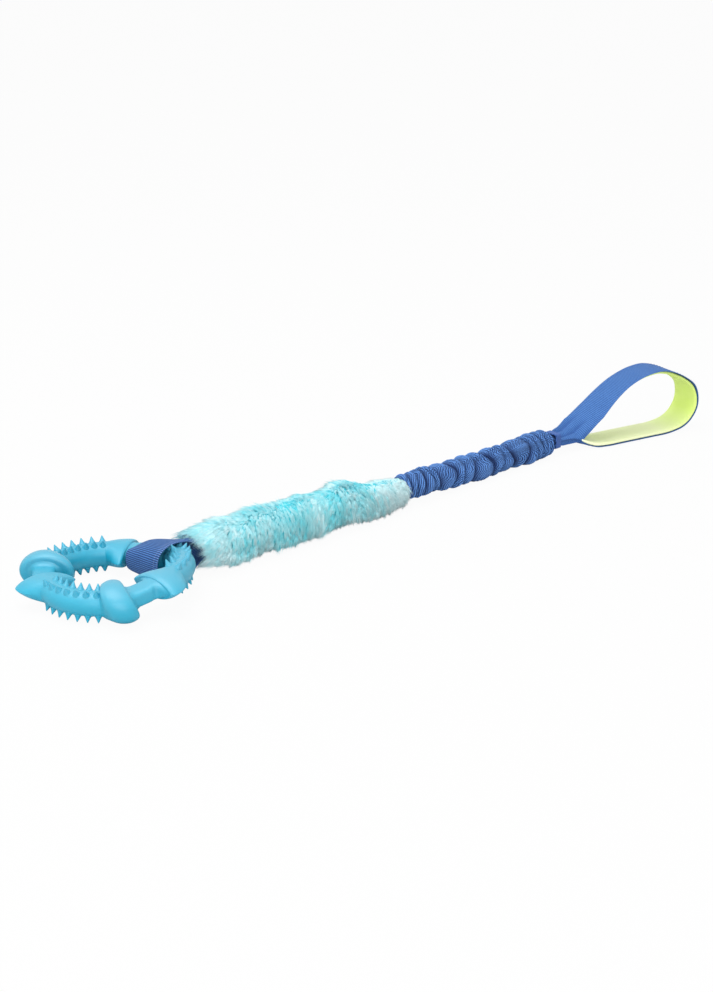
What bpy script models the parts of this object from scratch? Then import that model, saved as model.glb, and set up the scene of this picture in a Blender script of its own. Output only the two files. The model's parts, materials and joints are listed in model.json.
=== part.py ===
"""Bungee tug toy: moulded chew ring, plush sleeve, gathered stretch section and padded hand loop.

The toy lies on a floor at z = 0 and is built from the mouth of the sleeve, where its ring loop
comes out. +X runs along the sleeve to the hand loop, Y lies across the straps and +Z is up.
"""

import math

import bmesh
import bpy
import numpy as np
from mathutils import Matrix, Vector

MM = 0.001

# Gaps between pieces
SEAT_GAP = 0.3 * MM
CUT_OVERRUN = 2.0 * MM

# Chew ring: three round bars, each with a domed knuckle at one end and a pointed one at the other
RING_RADIUS = 39.0 * MM
BAR_RADIUS = 7.4 * MM
ROD_HALF_WIDTH = 6.7 * MM
ROD_HALF_HEIGHT = 5.1 * MM
DOME_HALF_WIDTH = 16.7 * MM
DOME_HALF_HEIGHT = 11.8 * MM
POINT_HALF_WIDTH = 17.4 * MM
POINT_HALF_HEIGHT = 7.1 * MM
RING_BARS = 3
RING_FACETS = 16
ROD_DEG = 55.5
ROD_SQUARENESS = 0.30
ROD_SEAT_SHARE = 1.15
DOME_MIDDLE_DEG = 40.5
SPIKE_HEIGHT = 3.8 * MM
SPIKE_BASE_RADIUS = 2.2 * MM
SPIKE_ROOT_DEPTH = 1.2 * MM
SPIKE_PITCH = 5.6 * MM
SPIKE_COLUMNS = 7
SPIKE_SIDES = 5
SPIKE_ROWS_DEG = (65.0, 115.0, -65.0, -115.0)

# Stations from the middle of a bar to the middle of the rod past its domed end: degrees along the
# ring, then half width and half height as shares of the dome's. The lip turns back to the rod.
DOME_SHARES = (
    (28.5, 0.52, 0.70),
    (30.0, 0.66, 0.80),
    (33.0, 0.86, 0.92),
    (36.5, 0.96, 0.98),
    (40.5, 1.00, 1.00),
    (45.0, 0.97, 0.97),
    (48.5, 0.89, 0.90),
    (50.8, 0.79, 0.82),
    (51.6, 0.70, 0.74),
    (51.0, 0.60, 0.65),
)

# The same for the pointed end, with the sharpness of the tips along the parting line last
POINT_SHARES = (
    (27.5, 0.50, 1.02, 0.2),
    (30.0, 0.68, 1.01, 0.5),
    (33.5, 0.88, 1.00, 0.8),
    (37.5, 1.00, 1.00, 0.9),
    (42.0, 0.95, 0.99, 0.9),
    (46.0, 0.79, 0.93, 0.8),
    (49.0, 0.58, 0.84, 0.5),
)

# Webbing, the same strap for the ring loop and the hand loop
STRAP_WIDTH = 25.0 * MM
STRAP_THICKNESS = 1.3 * MM
STRAP_ACROSS = 4

# Ring loop: it leaves the sleeve at an angle and goes round one domed knuckle
LOOP_TURN_DEG = 20.0
LOOP_REACH = 29.0 * MM
LOOP_EASE = 2.0 * MM
LOOP_TURN_WIDTH = 20.0 * MM
LOOP_SIDE_SHIFT = 3.6 * MM
LOOP_SLACK = 0.6 * MM
MOUTH_RISE = 8.0 * MM
MOUTH_DEPTH = 28.0 * MM
MOUTH_ARCH = 3.4 * MM
MOUTH_WIDTH = 15.5 * MM
MOUTH_HALF_SHARE = 0.62
LOOP_TAIL_WIDTH = 13.0 * MM
LOOP_BAR_SIDE_ARCH = 0.8 * MM
LOOP_ROD_SIDE_ARCH = 1.8 * MM
RING_TURN_DEG = 23.8

# Plush sleeve, from its mouth to the gathered section
SLEEVE_LENGTH = 160.0 * MM
SLEEVE_HEIGHT = 16.0 * MM
SLEEVE_RADIUS = 16.0 * MM
BACKING_RADIUS = 10.6 * MM
BACKING_MOUTH_RADIUS = 12.2 * MM
BACKING_WALL = 1.4 * MM
BACKING_END_SHARE = 0.86
SLEEVE_FACETS = 28
PILE_OVERHANG = 3.0 * MM

# Outer line of the pile: place along the sleeve, radius, both as shares
PILE_SHARES = (
    (-0.01, 0.85),
    (0.03, 0.89),
    (0.10, 0.98),
    (0.18, 1.00),
    (0.45, 0.955),
    (0.75, 0.90),
    (0.92, 0.82),
    (1.00, 0.70),
)

# Elastic cord in the gathered section
CORD_RADIUS = 2.5 * MM
CORD_IN_SLEEVE = 22.0 * MM
CORD_IN_NECK = 2.0 * MM
CORD_STEPS = 23
TAIL_END_WIDTH = 11.0 * MM

# Gathered cover over the cord
COVER_LENGTH = 158.0 * MM
COVER_RADIUS = 9.4 * MM
FOLD_DEPTH = 1.2 * MM
COVER_COLLAR_RADIUS = 6.0 * MM
COVER_COLLAR = 5.0 * MM
COVER_BORE_GAP = 0.5 * MM
COVER_TURN_DEG = 1.0
COVER_DROP_SHARE = 0.30
COVER_FACETS = 16
FOLD_LEAN = 2.6 * MM

# Valleys between the folds as shares of the cover's length, chosen by hand, with how far each
# leans as a share of the full lean, the side that it leans to in degrees, and how full the
# fold after it stands
FOLD_SHARES = (
    (0.000, 0.0, 0, 0.80),
    (0.050, 0.2, 20, 0.86),
    (0.096, 0.3, 40, 0.93),
    (0.143, 0.4, 60, 1.00),
    (0.196, 0.5, 210, 0.97),
    (0.268, 0.8, 230, 1.00),
    (0.332, 0.4, 160, 0.96),
    (0.398, 0.3, 60, 1.00),
    (0.478, 0.9, 120, 1.04),
    (0.552, 0.6, 200, 0.97),
    (0.620, 1.0, 220, 1.02),
    (0.684, 0.5, 130, 1.00),
    (0.764, 1.0, 240, 1.05),
    (0.822, 0.5, 150, 1.02),
    (0.872, 0.3, 110, 1.00),
    (0.920, 0.4, 60, 1.05),
    (0.962, 0.2, 20, 1.02),
    (1.000, 0.0, 0, 1.00),
)
FOLD_STEP_SHARES = (0.0, 0.14, 0.5, 0.86)

# Hand loop
NECK_LENGTH = 4.0 * MM
NECK_HEIGHT = 9.9 * MM
HANDLE_TURN_DEG = -12.3
HANDLE_LENGTH = 117.0 * MM
HANDLE_HEIGHT = 50.0 * MM
HANDLE_TAIL = 12.0 * MM
HANDLE_TAIL_WIDTH = 9.0 * MM
UPPER_ARCH = 4.0 * MM
LOWER_ARCH = 1.5 * MM
PADDING_THICKNESS = 2.6 * MM
PADDING_MARGIN = 0.4 * MM
THREAD_WIDTH = 0.8 * MM
THREAD_HEIGHT = 0.5 * MM
THREAD_INSET = 2.6 * MM

# Middle line of the hand loop's webbing from its upper neck round to its lower neck: place
# along the loop and height, as shares of its length and height
HANDLE_SHARES = (
    (0.05, 0.268),
    (0.10, 0.292),
    (0.16, 0.368),
    (0.23, 0.478),
    (0.32, 0.630),
    (0.42, 0.788),
    (0.52, 0.904),
    (0.60, 0.962),
    (0.69, 0.984),
    (0.79, 0.930),
    (0.89, 0.815),
    (0.96, 0.680),
    (0.99, 0.500),
    (0.985, 0.320),
    (0.94, 0.160),
    (0.88, 0.070),
    (0.81, 0.030),
)
FLAT_SHARES = (0.74, 0.65, 0.56, 0.47, 0.38, 0.30)
LOWER_NECK_SHARES = ((0.21, 0.028), (0.13, 0.060), (0.06, 0.102))
PADDING_START_SHARE = 0.115
PADDING_END_SHARE = 0.932
THREAD_START_SHARE = 0.10
THREAD_END_SHARE = 0.60

# Stitching: bands of thread wound through and round the layers that they hold
BAND_THICKNESS = 0.7 * MM
BAND_LENGTH = 5.0 * MM
BAND_FACETS = 20
BAND_SQUARENESS = 0.22
GATHER_THREAD_RADIUS = 0.8 * MM

# Points that stand closer than this are one point
WELD_DISTANCE = 0.01 * MM


def clear_scene():
    """Empty the file and give back the collections for the parts and for the cutters."""
    for old in list(bpy.data.objects):
        bpy.data.objects.remove(old)
    parts = bpy.data.collections.new("bungee_tug_toy")
    cutters = bpy.data.collections.new("cutters")
    bpy.context.scene.collection.children.link(parts)
    bpy.context.scene.collection.children.link(cutters)
    return parts, cutters


PARTS, CUTTERS = clear_scene()


def material(name, colour, roughness, metallic=0.0):
    """A plain finish in the part's own colour."""
    finish = bpy.data.materials.new(name)
    finish.use_nodes = True
    shader = finish.node_tree.nodes["Principled BSDF"]
    shader.inputs["Base Color"].default_value = (*colour, 1.0)
    shader.inputs["Roughness"].default_value = roughness
    shader.inputs["Metallic"].default_value = metallic
    finish.diffuse_color = (*colour, 1.0)
    return finish


AQUA_RUBBER = ((0.10, 0.56, 0.82), 0.45)
PALE_PILE = ((0.52, 0.80, 0.78), 0.95)
KNIT_BACKING = ((0.40, 0.68, 0.70), 0.9)
BLUE_WEBBING = ((0.06, 0.18, 0.52), 0.8)
LIME_NEOPRENE = ((0.66, 0.86, 0.19), 0.7)
BLUE_THREAD = ((0.05, 0.15, 0.45), 0.7)
PALE_THREAD = ((0.55, 0.80, 0.80), 0.7)
PALE_ELASTIC = ((0.75, 0.75, 0.72), 0.6)


def pivot(name, place, turn=0.0, parent=None):
    """An empty that carries a group of pieces on their joint."""
    empty = bpy.data.objects.new(name, None)
    empty.location = place
    empty.rotation_euler = (0.0, 0.0, turn)
    empty.parent = parent
    PARTS.objects.link(empty)
    return empty


def add_part(name, mesh, look, parent, place=(0.0, 0.0, 0.0)):
    """Put a mesh in the parts as one named piece with its own finish."""
    mesh.materials.clear()
    mesh.materials.append(material(name, *look))
    piece = bpy.data.objects.new(name, mesh)
    piece.parent = parent
    piece.location = place
    PARTS.objects.link(piece)
    return piece


def add_cutter(name, mesh, parent, place=(0.0, 0.0, 0.0)):
    """Put a mesh with the cutters, hidden from the part itself."""
    cutter = bpy.data.objects.new(name, mesh)
    cutter.parent = parent
    cutter.location = place
    cutter.hide_render = True
    cutter.display_type = "WIRE"
    CUTTERS.objects.link(cutter)
    return cutter


def cut(piece, cutter, operation="DIFFERENCE"):
    """Cut one piece by another, or join them."""
    modifier = piece.modifiers.new(cutter.name, "BOOLEAN")
    modifier.operation = operation
    modifier.solver = "EXACT"
    modifier.object = cutter


def loft(name, sections, closed=False):
    """A skin through a row of like sections, each a ring of points, capped unless it closes."""
    body = bmesh.new()
    rings = [[body.verts.new(point) for point in section] for section in sections]
    count = len(rings[0])
    last = len(rings) if closed else len(rings) - 1
    for i in range(last):
        this, after = rings[i], rings[(i + 1) % len(rings)]
        for j in range(count):
            k = (j + 1) % count
            body.faces.new((this[j], this[k], after[k], after[j]))
    if not closed:
        body.faces.new(rings[0][::-1])
        body.faces.new(rings[-1])
    bmesh.ops.recalc_face_normals(body, faces=body.faces)
    mesh = bpy.data.meshes.new(name)
    body.to_mesh(mesh)
    body.free()
    mesh.shade_smooth()
    mesh.set_sharp_from_angle(angle=math.radians(40))
    return mesh


def turned(name, profile, facets, look, parent, place):
    """A profile of (radius, place) pairs, listed down its outer side, turned about +X."""
    mesh = bpy.data.meshes.new(name)
    points = [(radius, 0.0, along) for radius, along in profile]
    edges = [(i, (i + 1) % len(points)) for i in range(len(points))]
    mesh.from_pydata(points, edges, [])
    piece = add_part(name, mesh, look, parent, place)
    piece.rotation_euler = (0.0, math.pi / 2, 0.0)
    screw = piece.modifiers.new("turn", "SCREW")
    screw.axis = "Z"
    screw.steps = facets
    screw.render_steps = facets
    screw.use_merge_vertices = True
    screw.merge_threshold = WELD_DISTANCE
    screw.use_smooth_shade = True
    return piece


def smooth_line(points, per_span):
    """A smooth curve through the points, each span bent by the points on either side of it."""
    knots = np.array(points, dtype=float)
    padded = np.vstack([2 * knots[0] - knots[1], knots, 2 * knots[-1] - knots[-2]])
    share = np.arange(per_span)[:, None] / per_span
    spans = []
    for before, start, end, after in zip(padded, padded[1:], padded[2:], padded[3:]):
        bend_in = (end - before) / 2
        bend_out = (after - start) / 2
        rise = 3 * (end - start) - 2 * bend_in - bend_out
        fall = 2 * (start - end) + bend_in + bend_out
        spans.append(start + bend_in * share + rise * share**2 + fall * share**3)
    return np.vstack(spans + [knots[-1:]])


def ease(value, low, high):
    """A smooth step from 0 at low to 1 at high."""
    share = np.clip((value - low) / (high - low), 0.0, 1.0)
    return share * share * (3 - 2 * share)


def lengths_along(line):
    """Distance of each point along a line from its start."""
    steps = np.linalg.norm(np.diff(line, axis=0), axis=1)
    return np.concatenate([[0.0], np.cumsum(steps)])


def side_of(line):
    """Unit normals on the left of a line in its own plane, seen along its travel."""
    run = np.gradient(line, axis=0)
    run /= np.linalg.norm(run, axis=1)[:, None]
    return np.column_stack([-run[:, 1], run[:, 0]])


def strap_sections(line, widths, thickness, offset=0.0, arches=0.0, centre=0.0):
    """Sections of a strap whose middle line lies in the XZ plane and whose width lies along Y.

    Each section is moved off the line by the offset, and its edges are drawn off by the arch,
    which is one size, or a pair of sizes for its -Y and +Y edges.
    """
    normals = side_of(line)
    widths = np.broadcast_to(widths, len(line))
    arches = np.broadcast_to(arches, (2, len(line))).T
    centres = np.broadcast_to(centre, len(line))
    across = np.linspace(-1.0, 1.0, STRAP_ACROSS + 1)
    sections = []
    for point, normal, width, arch, middle in zip(line, normals, widths, arches, centres):
        ring = []
        for half, order in ((thickness / 2, across), (-thickness / 2, across[::-1])):
            for share in order:
                away = offset + half + arch[int(share > 0)] * share**2
                x, z = point + normal * away
                ring.append((x, middle + share * width / 2, z))
        sections.append(ring)
    return sections


def swept_back(sections, turn, reach):
    """Turn the sections behind the pivot about it, easing into the turn over a short reach."""
    swept = []
    for section in sections:
        points = np.array(section)
        angle = turn * (1.0 - ease(points[:, 0].mean(), -reach, reach))
        x = points[:, 0] * math.cos(angle) - points[:, 1] * math.sin(angle)
        y = points[:, 0] * math.sin(angle) + points[:, 1] * math.cos(angle)
        swept.append(np.column_stack([x, y, points[:, 2]]))
    return swept


def ring_stations():
    """Stations along one bar of the ring, from the rod before it to the rod after it.

    Each is degrees off the bar's middle, half width, half height, tip sharpness, squareness.
    """
    rod_sizes = (ROD_HALF_WIDTH, ROD_HALF_HEIGHT, 0.0, ROD_SQUARENESS)
    seat_sizes = [size * ROD_SEAT_SHARE for size in rod_sizes[:2]]
    half_step = 180.0 / RING_BARS
    points = [(-half_step, *rod_sizes), (-ROD_DEG, *rod_sizes), (-51.5, *rod_sizes)]
    for deg, wide, high, tip in POINT_SHARES[::-1]:
        points.append((-deg, wide * POINT_HALF_WIDTH, high * POINT_HALF_HEIGHT, tip, 0.0))
    for deg in (-25.5, -17.0, -8.5, 0.0, 8.5, 17.0, 26.0):
        points.append((deg, BAR_RADIUS, BAR_RADIUS, 0.0, 0.0))
    for deg, wide, high in DOME_SHARES:
        points.append((deg, wide * DOME_HALF_WIDTH, high * DOME_HALF_HEIGHT, 0.0, 0.0))
    points.append((50.4, *seat_sizes, 0.0, 2 * ROD_SQUARENESS / 3))
    points.append((52.5, *rod_sizes))
    return points


def ring_section(station, bar_middle_deg):
    """One section of the ring: an ellipse, squared off on a rod and pinched at its tips."""
    deg, half_width, half_height, tip, square = station
    turn = math.radians(deg + bar_middle_deg)
    outward = Vector((math.cos(turn), math.sin(turn), 0.0))
    ring = []
    for i in range(RING_FACETS):
        angle = 2 * math.pi * i / RING_FACETS
        wide, high = math.cos(angle), math.sin(angle)
        wide = math.copysign(abs(wide) ** (1.0 - square), wide)
        high = math.copysign(abs(high) ** (1.0 - square + tip), high)
        lift = Vector((0.0, 0.0, high * half_height))
        ring.append(outward * (RING_RADIUS + wide * half_width) + lift)
    return ring


def ring_spikes():
    """All the ring's spikes: rows along each bar, spaced along the bar, leaning off its skin."""
    spikes = bmesh.new()
    middle = (SPIKE_COLUMNS - 1) / 2
    length = SPIKE_HEIGHT + SPIKE_ROOT_DEPTH
    root_radius = SPIKE_BASE_RADIUS * length / SPIKE_HEIGHT
    for bar in range(RING_BARS):
        bar_turn = 2 * math.pi * bar / RING_BARS - math.radians(DOME_MIDDLE_DEG)
        for column in range(SPIKE_COLUMNS):
            turn = bar_turn + (column - middle) * SPIKE_PITCH / RING_RADIUS
            for row in SPIKE_ROWS_DEG:
                stand = Matrix.Rotation(turn, 4, "Z")
                stand @= Matrix.Translation((RING_RADIUS, 0.0, 0.0))
                stand @= Matrix.Rotation(math.radians(90.0 - row), 4, "Y")
                reach = BAR_RADIUS - SPIKE_ROOT_DEPTH + length / 2
                stand @= Matrix.Translation((0.0, 0.0, reach))
                bmesh.ops.create_cone(
                    spikes,
                    cap_ends=True,
                    segments=SPIKE_SIDES,
                    radius1=root_radius,
                    radius2=0.0,
                    depth=length,
                    matrix=stand,
                )
    mesh = bpy.data.meshes.new("spikes")
    spikes.to_mesh(mesh)
    spikes.free()
    return mesh


def build_ring(swing):
    """The chew ring on its swing axis, which runs through the knuckle in the strap loop."""
    sections = []
    for bar in range(RING_BARS):
        middle = 360.0 * bar / RING_BARS - DOME_MIDDLE_DEG
        sections += [ring_section(station, middle) for station in ring_stations()]
    mesh = loft("chew_ring", sections, closed=True)
    centre = (-RING_RADIUS, 0.0, 0.0)
    ring = add_part("chew_ring", mesh, AQUA_RUBBER, swing, centre)
    cut(ring, add_cutter("ring_spikes", ring_spikes(), swing, centre), "UNION")


def knuckle_height():
    """Height of the middle of the knuckle that lies on the ring loop's lower strap."""
    return DOME_HALF_HEIGHT + LOOP_SLACK + STRAP_THICKNESS


def tail_offset():
    """Distance of a strap tail's middle from the cord's middle, where it lies along the cord."""
    return CORD_RADIUS + SEAT_GAP + STRAP_THICKNESS / 2


def loop_line():
    """Middle line of the ring loop's strap: in along the top, round the knuckle and back."""
    close = (STRAP_THICKNESS + SEAT_GAP) / 2
    wrap_reach = DOME_HALF_WIDTH + LOOP_EASE + STRAP_THICKNESS / 2
    wrap_rise = DOME_HALF_HEIGHT + LOOP_SLACK + STRAP_THICKNESS / 2
    tail_end = -SLEEVE_LENGTH + PILE_OVERHANG
    spread_start = tail_end + CORD_IN_SLEEVE + 2 * BAND_LENGTH
    spread_end = tail_end + CORD_IN_SLEEVE + SEAT_GAP
    upper = [
        (tail_end, SLEEVE_HEIGHT + tail_offset()),
        (spread_end - BAND_LENGTH, SLEEVE_HEIGHT + tail_offset()),
        (spread_end, SLEEVE_HEIGHT + tail_offset()),
        (spread_start, SLEEVE_HEIGHT + close),
        (tail_end / 2, SLEEVE_HEIGHT + close),
        (-MOUTH_DEPTH - BAND_LENGTH, SLEEVE_HEIGHT + close),
        (-MOUTH_DEPTH, SLEEVE_HEIGHT + close),
        (-MOUTH_DEPTH / 2, SLEEVE_HEIGHT + MOUTH_RISE * MOUTH_HALF_SHARE),
        (0.0, SLEEVE_HEIGHT + MOUTH_RISE),
    ]
    middle = (LOOP_REACH, knuckle_height())
    wrap = []
    for deg in range(110, -111, -20):
        turn = math.radians(deg)
        reach = middle[0] + wrap_reach * math.cos(turn)
        wrap.append((reach, middle[1] + wrap_rise * math.sin(turn)))
    lower = [(x, 2 * SLEEVE_HEIGHT - z) for x, z in upper[::-1]]
    return smooth_line(upper + wrap + lower, 3)


def build_loop(flex):
    """The ring loop: one strap folded round a knuckle, its two tails running up the sleeve."""
    line = loop_line()
    at = line[:, 0]
    widths = TAIL_END_WIDTH + (LOOP_TAIL_WIDTH - TAIL_END_WIDTH) * ease(
        at, -SLEEVE_LENGTH, -SLEEVE_LENGTH + 2 * CORD_IN_SLEEVE
    )
    widths = widths + (MOUTH_WIDTH - LOOP_TAIL_WIDTH) * ease(at, -MOUTH_DEPTH, 0.0)
    widths = widths + (LOOP_TURN_WIDTH - MOUTH_WIDTH) * ease(at, 0.0, LOOP_REACH)
    curl = -MOUTH_ARCH * ease(at, -MOUTH_DEPTH, 0.0) * (1.0 - ease(at, 0.0, LOOP_REACH / 2))
    drape = -ease(at, LOOP_REACH / 2, LOOP_REACH) * np.abs(side_of(line)[:, 1])
    arches = (curl + LOOP_ROD_SIDE_ARCH * drape, curl + LOOP_BAR_SIDE_ARCH * drape)
    shift = LOOP_SIDE_SHIFT * ease(at, LOOP_REACH / 2, LOOP_REACH)
    sections = strap_sections(line, widths, STRAP_THICKNESS, arches=arches, centre=shift)
    sections = swept_back(sections, math.radians(LOOP_TURN_DEG), BAND_LENGTH)
    mesh = loft("ring_loop_webbing", sections)
    add_part("ring_loop_webbing", mesh, BLUE_WEBBING, flex, (0.0, 0.0, -SLEEVE_HEIGHT))


def band(name, along, height, half_width, half_height, look, parent, place):
    """Thread wound round layers: a flat band on a box with rounded corners that clears them."""
    sections = []
    for i in range(BAND_FACETS):
        turn = 2 * math.pi * i / BAND_FACETS
        wide = math.copysign(abs(math.cos(turn)) ** BAND_SQUARENESS, math.cos(turn))
        high = math.copysign(abs(math.sin(turn)) ** BAND_SQUARENESS, math.sin(turn))
        ring = []
        for grow, side in ((0, -1), (0, 1), (1, 1), (1, -1)):
            more = 2 * SEAT_GAP + grow * BAND_THICKNESS
            y = wide * (half_width + more)
            z = high * (half_height + more)
            ring.append((along + side * BAND_LENGTH / 2, y, height + z))
        sections.append(ring)
    return add_part(name, loft(name, sections, closed=True), look, parent, place)


def build_loop_stitching(root):
    """Stitching that closes the ring loop just inside the sleeve."""
    pack = STRAP_THICKNESS + SEAT_GAP / 2
    along = MOUTH_DEPTH + BAND_LENGTH
    band(
        "ring_loop_stitching",
        along,
        SLEEVE_HEIGHT,
        LOOP_TAIL_WIDTH / 2,
        pack,
        BLUE_THREAD,
        root,
        (0.0, 0.0, 0.0),
    )


def build_cord_stitching(root):
    """Stitching that holds the cord's near end between the strap's two tails."""
    along = SLEEVE_LENGTH - PILE_OVERHANG - BAND_LENGTH
    pack = tail_offset() + STRAP_THICKNESS / 2
    band(
        "cord_stitching_sleeve_end",
        along,
        SLEEVE_HEIGHT,
        TAIL_END_WIDTH / 2,
        pack,
        BLUE_THREAD,
        root,
        (0.0, 0.0, 0.0),
    )


def backing_profile():
    """The knitted tube's wall, wide at the mouth and drawn in at its far end."""
    neck = BACKING_RADIUS * BACKING_END_SHARE
    draw = 2 * GATHER_THREAD_RADIUS + SEAT_GAP
    outer = [
        (neck, SLEEVE_LENGTH),
        (neck, SLEEVE_LENGTH - draw),
        (BACKING_RADIUS, SLEEVE_LENGTH - draw - BAND_LENGTH),
        (BACKING_RADIUS, MOUTH_DEPTH + BAND_LENGTH),
        (BACKING_MOUTH_RADIUS, MOUTH_DEPTH / 2),
        (BACKING_MOUTH_RADIUS, 0.0),
    ]
    inner = [(radius - BACKING_WALL, along) for radius, along in outer[::-1]]
    return outer + inner


def build_sleeve(root):
    """The plush sleeve: a knitted backing tube, and the pile that stands on it."""
    centre = (0.0, 0.0, SLEEVE_HEIGHT)
    turned("sleeve_backing", backing_profile(), SLEEVE_FACETS, KNIT_BACKING, root, centre)
    outer = [(SLEEVE_RADIUS * high, SLEEVE_LENGTH * at) for at, high in PILE_SHARES[::-1]]
    inner = [
        (BACKING_MOUTH_RADIUS + SEAT_GAP, outer[-1][1]),
        (BACKING_MOUTH_RADIUS + SEAT_GAP, MOUTH_DEPTH / 2),
        (BACKING_RADIUS + SEAT_GAP, MOUTH_DEPTH + BAND_LENGTH),
        (BACKING_RADIUS + SEAT_GAP, outer[0][1]),
    ]
    turned("fur_sleeve", outer + inner, SLEEVE_FACETS, PALE_PILE, root, centre)


def build_gather_thread(root):
    """The thread that draws the sleeve's far end in, lying in the backing's neck."""
    seat = BACKING_RADIUS * BACKING_END_SHARE + SEAT_GAP
    reach = BACKING_RADIUS - SEAT_GAP / 2
    along = SLEEVE_LENGTH - GATHER_THREAD_RADIUS - SEAT_GAP
    profile = [
        (reach, along + GATHER_THREAD_RADIUS / 2),
        (reach, along - GATHER_THREAD_RADIUS / 2),
        (seat, along - GATHER_THREAD_RADIUS),
        (seat, along + GATHER_THREAD_RADIUS),
    ]
    centre = (0.0, 0.0, SLEEVE_HEIGHT)
    turned("sleeve_gather_thread", profile, SLEEVE_FACETS, PALE_THREAD, root, centre)


def cover_height(along):
    """Height of the stretch section's middle line, which drops from the sleeve to the floor."""
    share = ease(along, -SEAT_GAP, COVER_LENGTH * COVER_DROP_SHARE)
    return SLEEVE_HEIGHT + (NECK_HEIGHT - SLEEVE_HEIGHT) * share


def fold_edge(fold, angle):
    """Where a valley lies along the cover at an angle round it: straight round, or leaning."""
    share, lean, side, _ = fold
    return COVER_LENGTH * share + FOLD_LEAN * lean * np.cos(angle - math.radians(side))


def cover_sections():
    """Sections of the gathered cover: round folds that bulge between leaning valleys."""
    angle = np.linspace(0.0, 2 * math.pi, COVER_FACETS, endpoint=False)
    rows = [(fold_edge(FOLD_SHARES[0], angle), np.full(COVER_FACETS, COVER_COLLAR_RADIUS))]
    collar_end = fold_edge(FOLD_SHARES[0], angle) + COVER_COLLAR
    rows.append((collar_end, np.full(COVER_FACETS, COVER_COLLAR_RADIUS)))
    for fold, after in zip(FOLD_SHARES, FOLD_SHARES[1:]):
        start = np.maximum(fold_edge(fold, angle), collar_end + SEAT_GAP)
        run = fold_edge(after, angle) - start
        for share in FOLD_STEP_SHARES:
            bulge = math.sqrt(math.sin(math.pi * share))
            radius = COVER_RADIUS * fold[3] - FOLD_DEPTH * (1.0 - bulge)
            rows.append((start + run * share, np.full(COVER_FACETS, radius)))
    end_radius = COVER_RADIUS - FOLD_DEPTH
    rows.append((fold_edge(FOLD_SHARES[-1], angle), np.full(COVER_FACETS, end_radius)))
    sections = []
    for along, radius in rows:
        y = radius * np.cos(angle)
        z = radius * np.sin(angle) + cover_height(along)
        sections.append(np.column_stack([along, y, z]))
    return sections


def tube(name, points, radius, resolution):
    """A round bar along a line of points, as one welded mesh."""
    curve = bpy.data.curves.new(name, "CURVE")
    curve.dimensions = "3D"
    curve.bevel_depth = radius
    curve.bevel_resolution = resolution
    curve.use_fill_caps = True
    spline = curve.splines.new("POLY")
    spline.points.add(len(points) - 1)
    for knot, point in zip(spline.points, points):
        knot.co = (*point, 1.0)
    source = bpy.data.objects.new(name, curve)
    CUTTERS.objects.link(source)
    graph = bpy.context.evaluated_depsgraph_get()
    mesh = bpy.data.meshes.new_from_object(source.evaluated_get(graph))
    bpy.data.objects.remove(source)
    body = bmesh.new()
    body.from_mesh(mesh)
    bmesh.ops.remove_doubles(body, verts=body.verts, dist=WELD_DISTANCE)
    bmesh.ops.recalc_face_normals(body, faces=body.faces)
    body.to_mesh(mesh)
    body.free()
    mesh.shade_smooth()
    return mesh


def cord_line(start, end, steps):
    """Points down the middle of the stretch section from one place along it to another."""
    along = np.linspace(start, end, steps)
    return [(x, 0.0, cover_height(x)) for x in along]


def build_bungee(bend):
    """The elastic cord and the gathered cover that it draws up."""
    down = (0.0, 0.0, -SLEEVE_HEIGHT)
    cord_points = cord_line(-CORD_IN_SLEEVE, COVER_LENGTH + NECK_LENGTH + CORD_IN_NECK, CORD_STEPS)
    add_part("elastic_cord", tube("elastic_cord", cord_points, CORD_RADIUS, 3), PALE_ELASTIC, bend, down)
    cover = add_part("bungee_cover", loft("bungee_cover", cover_sections()), BLUE_WEBBING, bend, down)
    bore_line = cord_line(-CUT_OVERRUN, COVER_LENGTH + CUT_OVERRUN, CORD_STEPS)
    bore = tube("cord_bore", bore_line, CORD_RADIUS + COVER_BORE_GAP, 3)
    cut(cover, add_cutter("cord_bore", bore, bend, down))
    socket_start = COVER_LENGTH + NECK_LENGTH - HANDLE_TAIL - SEAT_GAP
    socket_line = cord_line(socket_start, COVER_LENGTH + CUT_OVERRUN, 2)
    wound = 2 * SEAT_GAP + BAND_THICKNESS
    half_height = tail_offset() + STRAP_THICKNESS / 2
    corner = math.hypot(HANDLE_TAIL_WIDTH / 2 + wound, half_height + wound)
    socket = tube("tail_socket", socket_line, corner + SEAT_GAP, 5)
    cut(cover, add_cutter("tail_socket", socket, bend, down))


def handle_line():
    """Middle line of the hand loop's webbing, from the end of its upper tail to its lower one."""
    upper_height = NECK_HEIGHT + tail_offset()
    lower_height = NECK_HEIGHT - tail_offset()
    upper = [(-HANDLE_TAIL, upper_height), (-HANDLE_TAIL / 2, upper_height), (0.0, upper_height)]
    lower = [(x, lower_height) for x, z in upper[::-1]]
    free = [(HANDLE_LENGTH * x, HANDLE_HEIGHT * z) for x, z in HANDLE_SHARES]
    flat = [(HANDLE_LENGTH * x, STRAP_THICKNESS / 2) for x in FLAT_SHARES]
    neck = [(HANDLE_LENGTH * x, HANDLE_HEIGHT * z) for x, z in LOWER_NECK_SHARES]
    return smooth_line(upper + free + flat + neck + lower, 2)


def handle_widths(line):
    """Width of the webbing along the hand loop: gathered in the neck, full in the loop."""
    return HANDLE_TAIL_WIDTH + (STRAP_WIDTH - HANDLE_TAIL_WIDTH) * ease(
        line[:, 0], 0.0, HANDLE_LENGTH / 5
    )


def handle_arches(line):
    """How far the webbing's edges curl inwards along the hand loop, most in the neck."""
    share = lengths_along(line) / lengths_along(line)[-1]
    depth = np.where(share < 0.5, UPPER_ARCH, LOWER_ARCH)
    fade_in = ease(line[:, 0], -HANDLE_TAIL / 2, NECK_LENGTH * 2)
    fade_out = 1.0 - ease(line[:, 0], NECK_LENGTH * 2, HANDLE_LENGTH / 4)
    return -depth * fade_in * fade_out


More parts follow.
